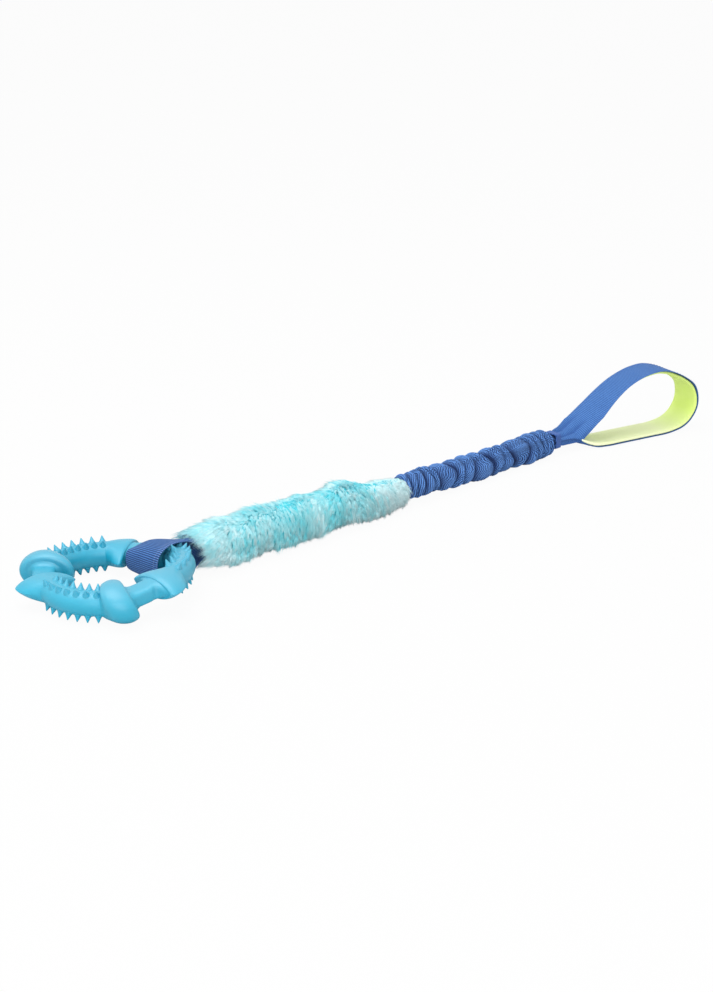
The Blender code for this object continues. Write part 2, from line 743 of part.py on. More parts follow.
def build_handle(fold):
    """The hand loop: webbing bent to a loop, its soft lining and the two rows that join them."""
    down = (0.0, 0.0, -NECK_HEIGHT)
    line = handle_line()
    share = lengths_along(line) / lengths_along(line)[-1]
    widths = handle_widths(line)
    arches = handle_arches(line)
    back = -math.radians(HANDLE_TURN_DEG)
    sections = strap_sections(line, widths, STRAP_THICKNESS, arches=arches)
    sections = swept_back(sections, back, NECK_LENGTH)
    add_part("handle_webbing", loft("handle_webbing", sections), BLUE_WEBBING, fold, down)
    held = (share > PADDING_START_SHARE) & (share < PADDING_END_SHARE)
    inwards = -(STRAP_THICKNESS + PADDING_THICKNESS) / 2 - SEAT_GAP
    lining = strap_sections(
        line[held],
        widths[held] - 2 * PADDING_MARGIN,
        PADDING_THICKNESS,
        inwards,
        arches[held],
    )
    add_part("handle_padding", loft("handle_padding", lining), LIME_NEOPRENE, fold, down)
    sewn = (share > THREAD_START_SHARE) & (share < THREAD_END_SHARE)
    outwards = (STRAP_THICKNESS + THREAD_HEIGHT) / 2 + SEAT_GAP
    for name, side in (("handle_stitch_row_left", 1), ("handle_stitch_row_right", -1)):
        inset = side * (STRAP_WIDTH / 2 - THREAD_INSET)
        row = strap_sections(line[sewn], THREAD_WIDTH, THREAD_HEIGHT, outwards, 0.0, inset)
        add_part(name, loft(name, row), BLUE_THREAD, fold, down)


def build_neck_stitching(neck):
    """Stitching that closes the cover's far end on the hand loop's tails and the cord."""
    pack = tail_offset() + STRAP_THICKNESS / 2
    band(
        "neck_stitching",
        SEAT_GAP + BAND_LENGTH / 2 - HANDLE_TAIL,
        NECK_HEIGHT,
        HANDLE_TAIL_WIDTH / 2,
        pack,
        BLUE_THREAD,
        neck,
        (0.0, 0.0, -NECK_HEIGHT),
    )


def centre_on_floor(root):
    """Move the whole toy so that its box stands centred over the origin."""
    bpy.context.view_layer.update()
    graph = bpy.context.evaluated_depsgraph_get()
    corners = []
    for piece in PARTS.objects:
        if piece.type == "MESH":
            shown = piece.evaluated_get(graph)
            place = np.array(shown.matrix_world)
            points = np.array([vertex.co for vertex in shown.data.vertices])
            corners.append(points @ place[:3, :3].T + place[:3, 3])
    points = np.vstack(corners)
    middle = (points.min(axis=0) + points.max(axis=0)) / 2
    root.location = (-middle[0], -middle[1], -points.min(axis=0)[2])


def main():
    """Build every piece on its pivot."""
    root = pivot("sleeve_frame", (0.0, 0.0, 0.0))
    loop_turn = math.pi - math.radians(LOOP_TURN_DEG)
    flex = pivot("loop_flex_axis", (0.0, 0.0, SLEEVE_HEIGHT), loop_turn, root)
    knuckle = (LOOP_REACH, 0.0, knuckle_height() - SLEEVE_HEIGHT)
    swing = pivot("ring_swing_axis", knuckle, math.pi + math.radians(RING_TURN_DEG), flex)
    rise = (knuckle_height() - DOME_HALF_HEIGHT) / (1.5 * RING_RADIUS)
    swing.rotation_euler.y = -math.asin(rise)
    bend = pivot(
        "bungee_bend_axis",
        (SLEEVE_LENGTH, 0.0, SLEEVE_HEIGHT),
        math.radians(COVER_TURN_DEG),
        root,
    )
    neck_place = (COVER_LENGTH + NECK_LENGTH, 0.0, NECK_HEIGHT - SLEEVE_HEIGHT)
    neck = pivot("neck_slide", neck_place, 0.0, bend)
    fold = pivot("handle_fold_axis", (0.0, 0.0, 0.0), math.radians(HANDLE_TURN_DEG), neck)
    build_ring(swing)
    build_loop(flex)
    build_loop_stitching(root)
    build_cord_stitching(root)
    build_sleeve(root)
    build_gather_thread(root)
    build_bungee(bend)
    build_neck_stitching(neck)
    build_handle(fold)
    centre_on_floor(root)


main()
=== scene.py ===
import json
import math
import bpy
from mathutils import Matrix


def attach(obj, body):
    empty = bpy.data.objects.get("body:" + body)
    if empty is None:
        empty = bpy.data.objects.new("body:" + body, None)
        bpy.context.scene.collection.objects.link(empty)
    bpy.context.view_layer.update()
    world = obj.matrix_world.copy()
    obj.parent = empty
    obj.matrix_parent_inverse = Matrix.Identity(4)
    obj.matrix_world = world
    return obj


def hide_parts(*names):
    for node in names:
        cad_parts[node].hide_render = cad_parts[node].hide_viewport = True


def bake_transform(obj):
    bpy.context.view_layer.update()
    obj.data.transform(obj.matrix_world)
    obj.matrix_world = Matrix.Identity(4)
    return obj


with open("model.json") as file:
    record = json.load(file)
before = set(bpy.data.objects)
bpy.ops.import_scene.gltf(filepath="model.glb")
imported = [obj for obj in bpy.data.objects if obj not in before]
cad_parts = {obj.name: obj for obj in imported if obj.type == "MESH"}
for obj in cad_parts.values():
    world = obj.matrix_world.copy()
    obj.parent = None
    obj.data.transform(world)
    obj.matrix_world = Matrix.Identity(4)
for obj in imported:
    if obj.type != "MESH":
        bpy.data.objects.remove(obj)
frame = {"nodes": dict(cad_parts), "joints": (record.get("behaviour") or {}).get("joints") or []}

from types import SimpleNamespace

import bmesh
import bpy
import numpy as np
from bpy.props import FloatProperty, FloatVectorProperty, IntProperty, PointerProperty
from mathutils import Vector

bl_info = {
    "name": "Bungee tug toy",
    "version": (1, 0, 0),
    "blender": (4, 5, 0),
    "location": "View3D > Sidebar > Tug Toy",
    "description": "Rubber ring, plush sleeve, gathered stretch cover and lined hand loop",
    "category": "Object",
}

MM = 0.001
TAU = 2.0 * math.pi
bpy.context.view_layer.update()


# Sizes of the pieces in metres, with heights over the floor, and the ring's tilt as a sine

RING_RADIUS = 39.0 * MM
BAR_RADIUS = 7.4 * MM
ROD = (6.7 * MM, 5.1 * MM)
DOME = (16.7 * MM, 11.8 * MM)
POINT = (17.4 * MM, 7.1 * MM)
RING_TILT = 0.0325
DOME_MIDDLE_DEG = 40.5
SLEEVE_LENGTH = 160.0 * MM
SLEEVE_HEIGHT = 16.0 * MM
SEAT_GAP = 0.3 * MM
STRAP_THICKNESS = 1.3 * MM
LOOP_REACH = 23.4 * MM
LOOP_ACROSS = 10.6 * MM
COVER_LENGTH = 158.0 * MM
NECK_RADIUS = 3.5 * MM
NECK_HEIGHT = 9.9 * MM
HANDLE_LENGTH = 117.0 * MM
HANDLE_HEIGHT = 50.0 * MM
TAIL_OFFSET = 3.45 * MM
ELASTIC_RADIUS = 2.4 * MM
LEAST_HEIGHT = 0.2 * MM
FLOOR_HALF = 6.0

# Fineness of the meshes: rows along a piece and points round its section

RING_ROWS_PER_SPAN = 6
RING_SHARP_DEG = 48
SPIKE_SIDES = 14
LOOP_FINENESS = (420, 22)
GROUND_FINENESS = (170, 72)
COVER_FINENESS = (40, 128)
HAND_FINENESS = (520, 26)
STITCH_FINENESS = (7, 6)
ELASTIC_FINENESS = (90, 20)
ELASTIC_TAIL_ROWS = 12
THREAD_FINENESS = (96, 10)
LINE_STEPS = 10

# Colours that no setting holds: the deeper one, then the paler one. The deeper one is a painted
# shade: between the ring loop's ribs, and in the hollows of the threads' twist.

# The ring loop's webbing between its ribs: a painted shade.
LOOP_RIB_SHADE = (0.012, 0.045, 0.16)
STITCH_COLOURS = ((0.03, 0.09, 0.33), (0.09, 0.20, 0.55))
BINDING_COLOURS = ((0.02, 0.07, 0.27), (0.06, 0.15, 0.45))
GATHER_COLOURS = ((0.30, 0.58, 0.60), (0.50, 0.78, 0.80))
ELASTIC_COLOURS = ((0.45, 0.45, 0.42), (0.72, 0.72, 0.68))
FLOOR_GREY = (0.62, 0.62, 0.62)
WHITE = (1.0, 1.0, 1.0)

# Lamps: place, width and the setting of their power; the camera's target past the ring

LAMPS = {
    "soft_key": ((-0.45, 0.10, 1.4), 1.3, "key"),
    "soft_fill": ((-0.95, -1.05, 0.55), 1.2, "fill"),
}
VIEW_SHIFT = (0.2169, 0.0241)
SENSOR_WIDTH = 36.0


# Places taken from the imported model's joints

def joint_named(name):
    """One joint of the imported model."""
    return next(joint for joint in frame["joints"] if joint["name"] == name)


def joint_frame(name):
    """Origin and the two level directions of a joint: Y against its axis, X = Y x up."""
    joint = joint_named(name)
    across = -np.array(joint["axis"], dtype=float)
    across /= np.linalg.norm(across)
    along = np.cross(across, (0.0, 0.0, 1.0))
    along /= np.linalg.norm(along)
    return np.array(joint["pos_m"], dtype=float), along, across


LOOP_AT, LOOP_X, _ = joint_frame("loop_flex")
BEND_AT, BEND_X, BEND_Y = joint_frame("bungee_bend")
FOLD_AT, FOLD_X, FOLD_Y = joint_frame("handle_fold")
SWING_AT = np.array(joint_named("ring_swing")["pos_m"])
SWING_Y = np.array(joint_named("ring_swing")["axis"])
FLOOR = FOLD_AT[2] - NECK_HEIGHT


# Mesh and curve helpers

def linked(name, mesh):
    """An object for a mesh, shaded smooth, in the scene."""
    mesh.polygons.foreach_set("use_smooth", np.full(len(mesh.polygons), True))
    piece = bpy.data.objects.new(name, mesh)
    bpy.context.scene.collection.objects.link(piece)
    return piece


def mesh_object(name, points, *blocks):
    """An object of its own from an array of points and one or more arrays of faces."""
    mesh = bpy.data.meshes.new(name)
    faces = [face for block in blocks for face in block.tolist()]
    mesh.from_pydata(points.tolist(), [], faces)
    mesh.validate()
    mesh.update()
    return linked(name, mesh)


def grid_faces(rows, columns, wrap_rows=False, wrap_columns=False):
    """Quads between neighbours of a rows x columns grid, closed round either way on request."""
    i = np.arange(rows if wrap_rows else rows - 1)
    j = np.arange(columns if wrap_columns else columns - 1)
    i, j = np.meshgrid(i, j, indexing="ij")
    next_i, next_j = (i + 1) % rows * columns, (j + 1) % columns
    i = i * columns
    return np.stack([i + j, i + next_j, next_i + next_j, next_i + j], axis=-1).reshape(-1, 4)


def copies(faces, size, count):
    """The faces of one shape of so many points, for as many like shapes one after another."""
    return (faces[None] + (np.arange(count) * size)[:, None, None]).reshape(-1, faces.shape[1])


def point_out(piece):
    """Turn every face of a closed piece outwards."""
    body = bmesh.new()
    body.from_mesh(piece.data)
    bmesh.ops.recalc_face_normals(body, faces=body.faces)
    body.to_mesh(piece.data)
    body.free()


def tube_object(name, points):
    """A closed tube of a grid of sections, its caps fanned about their middles."""
    rows, columns = points.shape[:2]
    ring = np.arange(columns)
    after, base = (ring + 1) % columns, (rows - 1) * columns
    first = np.column_stack([after, ring, np.full(columns, rows * columns)])
    last = np.column_stack([ring + base, after + base, np.full(columns, rows * columns + 1)])
    sides = grid_faces(rows, columns, wrap_columns=True)
    corners = np.vstack([points.reshape(-1, 3), points[[0, -1]].mean(axis=1)])
    piece = mesh_object(name, corners, sides, first, last)
    point_out(piece)
    return piece


def write_uv(piece, uv):
    """Give a piece a UV map from one (u, v) pair per point, in metres along and across."""
    layer = piece.data.uv_layers.new(name="UVMap")
    loops = np.empty(len(piece.data.loops), dtype=np.int64)
    piece.data.loops.foreach_get("vertex_index", loops)
    layer.data.foreach_set("uv", np.asarray(uv, dtype=np.float32)[loops].ravel())


def write_value(piece, name, values):
    """Give a piece one number per point that its material reads by name."""
    layer = piece.data.attributes.new(name, "FLOAT", "POINT")
    layer.data.foreach_set("value", np.asarray(values, dtype=np.float32))


def ease(value, low, high):
    """Smooth step: 3 s^2 - 2 s^3 of the share s of the way from low to high."""
    share = np.clip((value - low) / (high - low), 0.0, 1.0)
    return share * share * (3.0 - 2.0 * share)


def smooth_line(points, per_span):
    """Cubic through the points; each span leaves and enters along its neighbours' chord."""
    knots = np.asarray(points, dtype=float)
    padded = np.vstack([2 * knots[0] - knots[1], knots, 2 * knots[-1] - knots[-2]])
    share = (np.arange(per_span) / per_span)[None, :, None]
    before, start, end, after = (padded[k : len(padded) - 3 + k, None, :] for k in range(4))
    bend_in = (end - before) / 2
    bend_out = (after - start) / 2
    rise = 3 * (end - start) - 2 * bend_in - bend_out
    fall = 2 * (start - end) + bend_in + bend_out
    spans = start + bend_in * share + rise * share**2 + fall * share**3
    return np.vstack([spans.reshape(-1, knots.shape[1]), knots[-1:]])


def evenly(line, count):
    """The same line with its points spread at equal distances along it."""
    steps = np.concatenate([[0.0], np.cumsum(np.linalg.norm(np.diff(line, axis=0), axis=1))])
    places = np.linspace(0.0, steps[-1], count)
    return np.column_stack([np.interp(places, steps, column) for column in line.T]), places


def side_of(line):
    """Unit normals on the left of a flat line, a quarter turn from its direction."""
    run = np.gradient(line, axis=0)
    run /= np.linalg.norm(run, axis=1)[:, None]
    return np.column_stack([-run[:, 1], run[:, 0]])


def waves(rng, places, lengths, count):
    """A smooth random field: a mean of sines in random directions at about these lengths."""
    total = np.zeros(len(places))
    for _ in range(count):
        heading = rng.normal(size=places.shape[1])
        heading /= np.linalg.norm(heading)
        length = rng.uniform(*lengths)
        total += np.sin(TAU * (places @ heading) / length + rng.uniform(0.0, TAU))
    return total / math.sqrt(count)


def finish_piece(piece, material, slot, *nodes):
    """Give a piece its material, and let it stand for its solids; the slot is not used."""
    piece.data.materials.clear()
    piece.data.materials.append(material)
    if nodes:
        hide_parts(*nodes)
    return piece


def paint_node(node, material):
    """Put a procedural material on a solid that stays."""
    piece = frame["nodes"][node]
    for holder in piece.material_slots:
        holder.link = "OBJECT"
        holder.material = material
    if not piece.material_slots:
        piece.data.materials.append(material)


# Shader maths

class Value:
    """A number socket that can be used in sums: each operator adds one Math node."""

    def __init__(self, nodes, socket):
        self.nodes = nodes
        self.socket = socket

    def sum_node(self, operation, *terms):
        """A Math node of these terms."""
        return self.nodes.number("ShaderNodeMath", {"operation": operation}, list(terms))

    def __add__(self, other):
        return self.sum_node("ADD", self, other)

    __radd__ = __add__

    def __mul__(self, other):
        return self.sum_node("MULTIPLY", self, other)

    __rmul__ = __mul__

    def __sub__(self, other):
        return self.sum_node("SUBTRACT", self, other)

    def __rsub__(self, other):
        return self.sum_node("SUBTRACT", other, self)

    def sine(self):
        """The sine of this number."""
        return self.sum_node("SINE", self)

    def size(self):
        """This number without its sign."""
        return self.sum_node("ABSOLUTE", self)

    def most(self, other):
        """The larger of this number and another."""
        return self.sum_node("MAXIMUM", self, other)

    def between(self, low, high):
        """The share of the way from low to high, held to 0 and 1."""
        return self.nodes.number("ShaderNodeMapRange", {"clamp": True}, {0: self, 1: low, 2: high})


class Nodes:
    """A tree whose nodes all come from one method."""

    def __init__(self, tree):
        self.tree = tree

    def node(self, kind, settings=None, sockets=None):
        """A node of a kind, its settings set first, then its sockets given values or links."""
        made = self.tree.nodes.new(kind)
        for name, value in (settings or {}).items():
            setattr(made, name, value)
        pairs = enumerate(sockets) if isinstance(sockets, list) else (sockets or {}).items()
        for key, value in pairs:
            self.feed(made.inputs[key], value)
        return made

    def number(self, kind, settings=None, sockets=None, output=0):
        """The number that a new node gives."""
        return Value(self, self.node(kind, settings, sockets).outputs[output])

    def feed(self, socket, value):
        """Link a socket, or set its value where it is a plain one."""
        if isinstance(value, Value):
            self.tree.links.new(value.socket, socket)
        elif isinstance(value, bpy.types.NodeSocket):
            self.tree.links.new(value, socket)
        elif socket.type == "RGBA" and len(value) == 3:
            socket.default_value = (*value, 1.0)
        else:
            socket.default_value = value


class Finish(Nodes):
    """A material on one Principled shader."""

    def __init__(self, name):
        self.material = bpy.data.materials.new(name)
        self.material.use_nodes = True
        super().__init__(self.material.node_tree)
        self.shader = self.tree.nodes["Principled BSDF"]

    def set(self, **sockets):
        """Values or links of the shader's sockets, by name with _ for a blank."""
        for name, value in sockets.items():
            self.feed(self.shader.inputs[name.replace("_", " ")], value)

    def place(self):
        """Object coordinates."""
        return self.node("ShaderNodeTexCoord").outputs["Object"]

    def uv(self):
        """The piece's own UV map, and its two distances in metres."""
        source = self.node("ShaderNodeUVMap", {"uv_map": "UVMap"}).outputs[0]
        split = self.node("ShaderNodeSeparateXYZ", {}, [source])
        return source, Value(self, split.outputs[0]), Value(self, split.outputs[1])

    def value(self, name):
        """A number that the piece carries per point."""
        return self.number("ShaderNodeAttribute", {"attribute_name": name}, output="Fac")

    def noise(self, vector, scale, detail=3.0, roughness=0.5):
        """Smooth noise from 0 to 1."""
        sockets = {"Vector": vector, "Scale": scale, "Detail": detail, "Roughness": roughness}
        return self.number("ShaderNodeTexNoise", {}, sockets)

    def mix(self, share, first, second):
        """A colour between two others."""
        sockets = {0: share, 6: first, 7: second}
        return self.node("ShaderNodeMix", {"data_type": "RGBA"}, sockets).outputs[2]

    def bump(self, height, distance, strength):
        """Relief of a height field; the distance is its full depth in metres."""
        sockets = {"Height": height, "Distance": distance, "Strength": strength}
        self.set(Normal=self.node("ShaderNodeBump", {}, sockets).outputs[0])


def rubber_finish(look):
    """Soft moulded rubber: a fine orange-peel skin, painted paler on its upper side as a painted
    sheen.
    """
    made = Finish("aqua_rubber")
    place = made.place()
    cloud = made.noise(place, 38.0)
    grain = made.noise(place, 900.0, 2.0)
    body = made.mix(cloud.between(0.3, 0.7), look.deep, look.colour)
    # Painted sheen: the colour is mixed towards a paler one the higher a point stands over the
    # floor.
    made.set(
        Base_Color=made.mix(made.value("bloom") * 0.75, body, look.bloom),
        Roughness=grain * 0.10 + cloud * 0.10 + 0.34,
        Subsurface_Weight=0.12,
        Subsurface_Scale=0.005,
        Subsurface_Radius=(0.25, 0.8, 1.0),
        Coat_Weight=0.35,
        Coat_Roughness=0.45,
    )
    made.bump(grain + cloud * 0.4, 0.12 * MM, 0.5)
    return made.material


def pile_finish(look):
    """Plush strands: darker at the root, a painted shade, paler at the tip, each a little unlike
    its neighbours, and paler on the pile's upper and lower sides, a painted light.
    """
    made = Finish("plush_pile")
    height = made.value("height")
    # Painted light: a strand's paleness, which is higher on the pile's upper and lower sides, mixes
    # it towards the tip colour.
    pale = made.value("tint").between(0.05, 1.0) * height.between(0.0, 0.6) * 0.85
    # Painted shade: each strand is darker towards its root.
    body = made.mix(height.between(0.1, 0.9), look.root, look.colour)
    tipped = made.mix(height.between(0.55, 1.0) * 0.25, body, look.tip)
    made.set(Base_Color=made.mix(pale, tipped, look.tip), Roughness=0.85 - height * 0.2)
    made.set(Specular_IOR_Level=0.3, Sheen_Weight=0.25, Sheen_Roughness=0.5)
    return made.material


def ground_finish(look):
    """The dense under-pile that shows between strands, in the strands' root colour, a painted
    shade, lighter on its higher tufts.
    """
    made = Finish("pile_ground")
    tuft = made.noise(made.place(), 420.0, 4.0, 0.7)
    # Painted shade: the root colour, lighter on the higher tufts.
    body = made.mix(tuft.between(0.35, 0.8) * 0.6, look.root, look.colour)
    made.set(Base_Color=body, Roughness=tuft * 0.1 + 0.85)
    made.bump(tuft, 1.2 * MM, 0.9)
    return made.material


def webbing_finish(name, deep, colour, rib, relief, pale=None, line=0.0, tucked=0.0):
    """Woven webbing: ribs across it, each broken by the warp, with paler dotted lines.

    The rib height is the size of sin(pi u / rib); the warp height is that of sin(pi v / (rib
    x 0.8)) turned half a step on every other rib. The colour is darker where that height is
    lower, a painted shade between the ribs. The dotted lines lie at a set v. Where the piece
    carries a value for its folds, a painted shade darkens the fold valleys.
    """
    made = Finish(name)
    vector, u, v = made.uv()
    wander = made.noise(vector, 260.0, 2.0)
    ribs = (u * (math.pi / rib) + wander * 0.9).sine().size()
    warp = (v * (math.pi / (rib * 0.8)) + u * (math.pi / rib)).sine().size()
    height = ribs * 0.85 + warp * 0.15
    cloud = made.noise(vector, 90.0)
    # Painted shade: darker between the ribs, where the rib and warp height is low, with some random
    # cloud.
    painted_shade_weave = made.mix((height * 0.95 + cloud * 0.2).between(0.55, 1.04), deep, colour)
    if line:
        near = 1.0 - ((v.size() - line).size()).between(0.1 * MM, 0.6 * MM)
        dots = (u * (math.pi / rib)).sine().size().between(0.75, 0.95)
        painted_shade_weave = made.mix(near * dots * 0.6, painted_shade_weave, pale)
    # Painted shade in the fold valleys, where the piece carries values for its folds.
    if tucked:
        painted_shade_weave = made.mix(made.value("tuck").between(0.10, 0.75) * tucked, painted_shade_weave, deep)
    made.set(Base_Color=painted_shade_weave, Roughness=0.86 - height * 0.14)
    made.set(Specular_IOR_Level=0.3, Sheen_Weight=0.04, Sheen_Roughness=0.5)
    made.bump(height + cloud * 0.15, relief, 0.9)
    return made.material


def lining_finish(look):
    """Neoprene with a fine knitted face, painted paler on its lower run as a painted sheen, with a
    painted shade in the knit's hollows.
    """
    made = Finish("lime_neoprene")
    vector, u, v = made.uv()
    knit = (u * (math.pi / (0.7 * MM))).sine().size() * (v * (math.pi / (0.6 * MM))).sine().size()
    cloud = made.noise(vector, 120.0)
    # Painted sheen: the lower run is mixed towards a paler colour.
    painted_lit = (u - 165 * MM).between(0.0, 35 * MM) * 0.85
    # Painted shade: darker in the knit's hollows, mixed with random clouds.
    body = made.mix((knit * 0.4 + cloud * 0.6).between(0.1, 0.8), look.deep, look.colour)
    made.set(Base_Color=made.mix(painted_lit, body, look.pale), Roughness=cloud * 0.1 + 0.66)
    made.set(Sheen_Weight=0.1)
    made.bump(knit + cloud, 0.12 * MM, 0.6)
    return made.material


def thread_finish(name, deep, colour):
    """Twisted sewing thread, painted darker where its twist lies lower, a painted shade in its
    hollows.
    """
    made = Finish(name)
    twist = made.noise(made.place(), 1400.0, 2.0)
    body = made.mix(twist.between(0.3, 0.7), deep, colour)
    made.set(Base_Color=body, Roughness=twist * 0.15 + 0.55)
    made.bump(twist, 0.1 * MM, 0.7)
    return made.material


# Chew ring

# Domed knuckle: degrees from the bar's middle, shares of its half width and half height
DOME_ROWS = (
    (28.0, 0.49, 0.68),
    (29.6, 0.60, 0.78),
    (32.5, 0.79, 0.90),
    (36.5, 0.93, 0.98),
    (41.0, 0.99, 1.01),
    (44.6, 0.99, 0.99),
    (47.4, 0.95, 0.94),
    (49.2, 0.89, 0.88),
    (50.0, 0.81, 0.81),
    (50.1, 0.73, 0.74),
    (50.0, 0.65, 0.66),
)

# Pointed knuckle: the same, and how sharp its upper tip is
POINT_ROWS = (
    (27.0, 0.46, 1.03, 0.1),
    (29.0, 0.55, 1.02, 0.3),
    (32.0, 0.70, 1.02, 0.45),
    (36.0, 0.86, 1.02, 0.55),
    (40.5, 0.96, 1.01, 0.6),
    (44.5, 1.00, 0.99, 0.6),
    (46.8, 0.98, 0.94, 0.55),
    (48.4, 0.88, 0.84, 0.45),
    (48.6, 0.70, 0.76, 0.3),
)

# How the soft ring is bent: degrees round it, lift and outward push in millimetres
RING_BENDS = (
    (-120.0, 0.0, 0.0),
    (-100.0, 2.2, 0.8),
    (-80.5, 4.2, 2.0),
    (-40.5, 3.0, 5.0),
    (0.0, -1.3, 2.8),
    (20.0, -2.4, 1.0),
    (39.5, -3.6, 0.3),
    (79.5, -2.8, 0.0),
    (120.0, 0.1, -2.2),
    (159.5, 0.5, -3.0),
    (199.5, 0.0, -1.0),
    (240.0, 0.0, 0.0),
)

# Collar from the dome to the rod: degrees, shares of the rod's half sizes, squareness
COLLAR_ROWS = (
    (50.3, 1.42, 1.42, 0.10),
    (51.5, 1.22, 1.22, 0.25),
    (54.0, 1.06, 1.04, 0.40),
)

# Spike from its point to its foot in the bar: radius and height in millimetres
SPIKE_ROWS = (
    (0.0, 3.75),
    (0.24, 3.66),
    (0.42, 3.3),
    (0.80, 2.5),
    (1.18, 1.6),
    (1.62, 0.7),
    (2.1, 0.05),
    (2.5, -1.2),
)

SPIKES_IN_ROW = 7
SPIKE_STEP = 5.6 * MM
SPIKE_TURNS_DEG = (62.0, 112.0, -62.0, -112.0)
PINCH = 0.25
LEAN = 0.30
LEANING_KNUCKLE_DEG = 241.0


def ring_axes():
    """The ring's centre and axes: its X leans up by the tilt, its Y is the swing axis."""
    across = SWING_Y / np.linalg.norm(SWING_Y)
    level = np.cross(across, (0.0, 0.0, 1.0))
    along = level * math.sqrt(1.0 - RING_TILT**2) + np.array((0.0, 0.0, RING_TILT))
    return SWING_AT - along * RING_RADIUS, along, across, np.cross(along, across)


def ring_to_frame(points):
    """From the ring's own axes to the frame's axes."""
    centre, *axes = ring_axes()
    return centre + points @ np.array(axes)


def ring_rows():
    """Stations of one bar: degrees, half width, half height, tip sharpness, squareness."""
    rod = (*ROD, 0.0, 0.45)
    bar = (BAR_RADIUS, BAR_RADIUS, 0.0, 0.0)
    rows = [(d, *rod) for d in (-60.0, -55.5, -51.5)]
    rows += [(-d, w * POINT[0], h * POINT[1], t, 0.0) for d, w, h, t in POINT_ROWS[::-1]]
    rows += [(d, *bar) for d in (-25.5, -17.0, -8.5, 0.0, 8.5, 17.0, 26.0)]
    rows += [(d, w * DOME[0], h * DOME[1], 0.0, 0.0) for d, w, h in DOME_ROWS]
    rows += [(d, w * ROD[0], h * ROD[1], 0.0, square) for d, w, h, square in COLLAR_ROWS]
    return rows + [(60.0, *rod)]


def ring_bend(degrees):
    """How far the soft ring is lifted and pushed outwards at an angle round it, in metres."""
    table = np.array(RING_BENDS)
    turn = np.array((360.0, 0.0, 0.0))
    lines = smooth_line(np.vstack([table - turn, table[1:-1], table + turn]), 12)
    wrapped = np.mod(degrees + 120.0, 360.0) - 120.0
    return [np.interp(wrapped, lines[:, 0], lines[:, k]) * MM for k in (1, 2)]


def ring_surface(per_span, facets):
    """A closed tube round the ring whose section changes along it.

    At a station the section is (w c, h s) with c and s the cosine and sine of the angle round
    it, each raised to a power: under 1 squares the section off, over 1 draws a tip out. The
    knuckle in the strap's loop is pinched: its section is smaller by a fixed share. The front
    knuckle leans back: its points shift round the ring by a share of how low they lie.
    """
    rows = smooth_line(ring_rows(), per_span)[:-1]
    turn = np.arange(facets) * TAU / facets
    cosine, sine = np.cos(turn)[None, :], np.sin(turn)[None, :]
    deg, wide, high, tip, square = (column[:, None] for column in rows.T)
    tip, square = np.clip(tip, 0.0, None), np.clip(square, 0.0, None)
    out = np.sign(cosine) * np.abs(cosine) ** (1.0 - square) * wide
    rise = np.sign(sine) * np.abs(sine) ** (1.0 - square + tip) * high
    bars = []
    for bar in range(3):
        place = deg + 120.0 * bar - DOME_MIDDLE_DEG
        lift, push = ring_bend(place)
        pinch = 1.0 - PINCH * (1.0 - ease(np.abs(place), 11.0, 16.0))
        leaning = LEAN * (1.0 - ease(np.abs(place - LEANING_KNUCKLE_DEG), 9.0, 16.0))
        angle = np.radians(place) - leaning * rise / RING_RADIUS
        reach = RING_RADIUS + push + out * pinch
        x, y = reach * np.cos(angle), reach * np.sin(angle)
        bars.append(np.stack([x, y, rise * pinch + lift], axis=-1))
    return np.vstack(bars)


def ring_spikes(sides):
    """All the spikes: one turned profile, stood on the bars in rows."""
    radius, height = (np.array(SPIKE_ROWS) * MM).T
    turn = np.arange(sides) * TAU / sides
    heights = np.repeat(height[:, None], sides, axis=1)
    turned_profile = [np.outer(radius, np.cos(turn)), np.outer(radius, np.sin(turn)), heights]
    one = np.stack(turned_profile, axis=-1).reshape(-1, 3)
    points = []
    for bar in range(3):
        middle = TAU * bar / 3 - math.radians(DOME_MIDDLE_DEG)
        for column in range(SPIKES_IN_ROW):
            angle = middle + (column - SPIKES_IN_ROW // 2) * SPIKE_STEP / RING_RADIUS
            rise, push = ring_bend(np.degrees(angle))
            outward = np.array((math.cos(angle), math.sin(angle), 0.0))
            around = np.array((-math.sin(angle), math.cos(angle), 0.0))
            for row in np.radians(SPIKE_TURNS_DEG):
                up = outward * math.cos(row) + np.array((0.0, 0.0, math.sin(row)))
                foot = outward * (RING_RADIUS + push) + up * BAR_RADIUS + np.array((0.0, 0.0, rise))
                points.append(foot + one @ np.array((around, np.cross(up, around), up)))
    faces = grid_faces(len(SPIKE_ROWS), sides, wrap_columns=True)
    return np.vstack(points), copies(faces, len(one), len(points))


# Straps

LOOP_OUT = np.array((-0.990, -0.137, 0.0))
LOOP_SIDE = np.array((0.137, -0.990, 0.0))
LOOP_TAIL_TURN_DEG = 7.9
LOOP_RIB = 1.2 * MM
LOOP_LINE = 1.2 * MM
OVAL_POWER = 0.72


def upright(line):
    """A flat line of pairs (x, z) as points with y at 0."""
    return np.insert(line, 1, 0.0, axis=1)


def turned(grid, angle):
    """A grid with each row turned about the Z axis by an angle of its own."""
    cosine, sine = np.cos(angle)[:, None], np.sin(angle)[:, None]
    x, y, z = grid[..., 0], grid[..., 1], grid[..., 2]
    return np.stack([x * cosine - y * sine, x * sine + y * cosine, z], axis=-1)


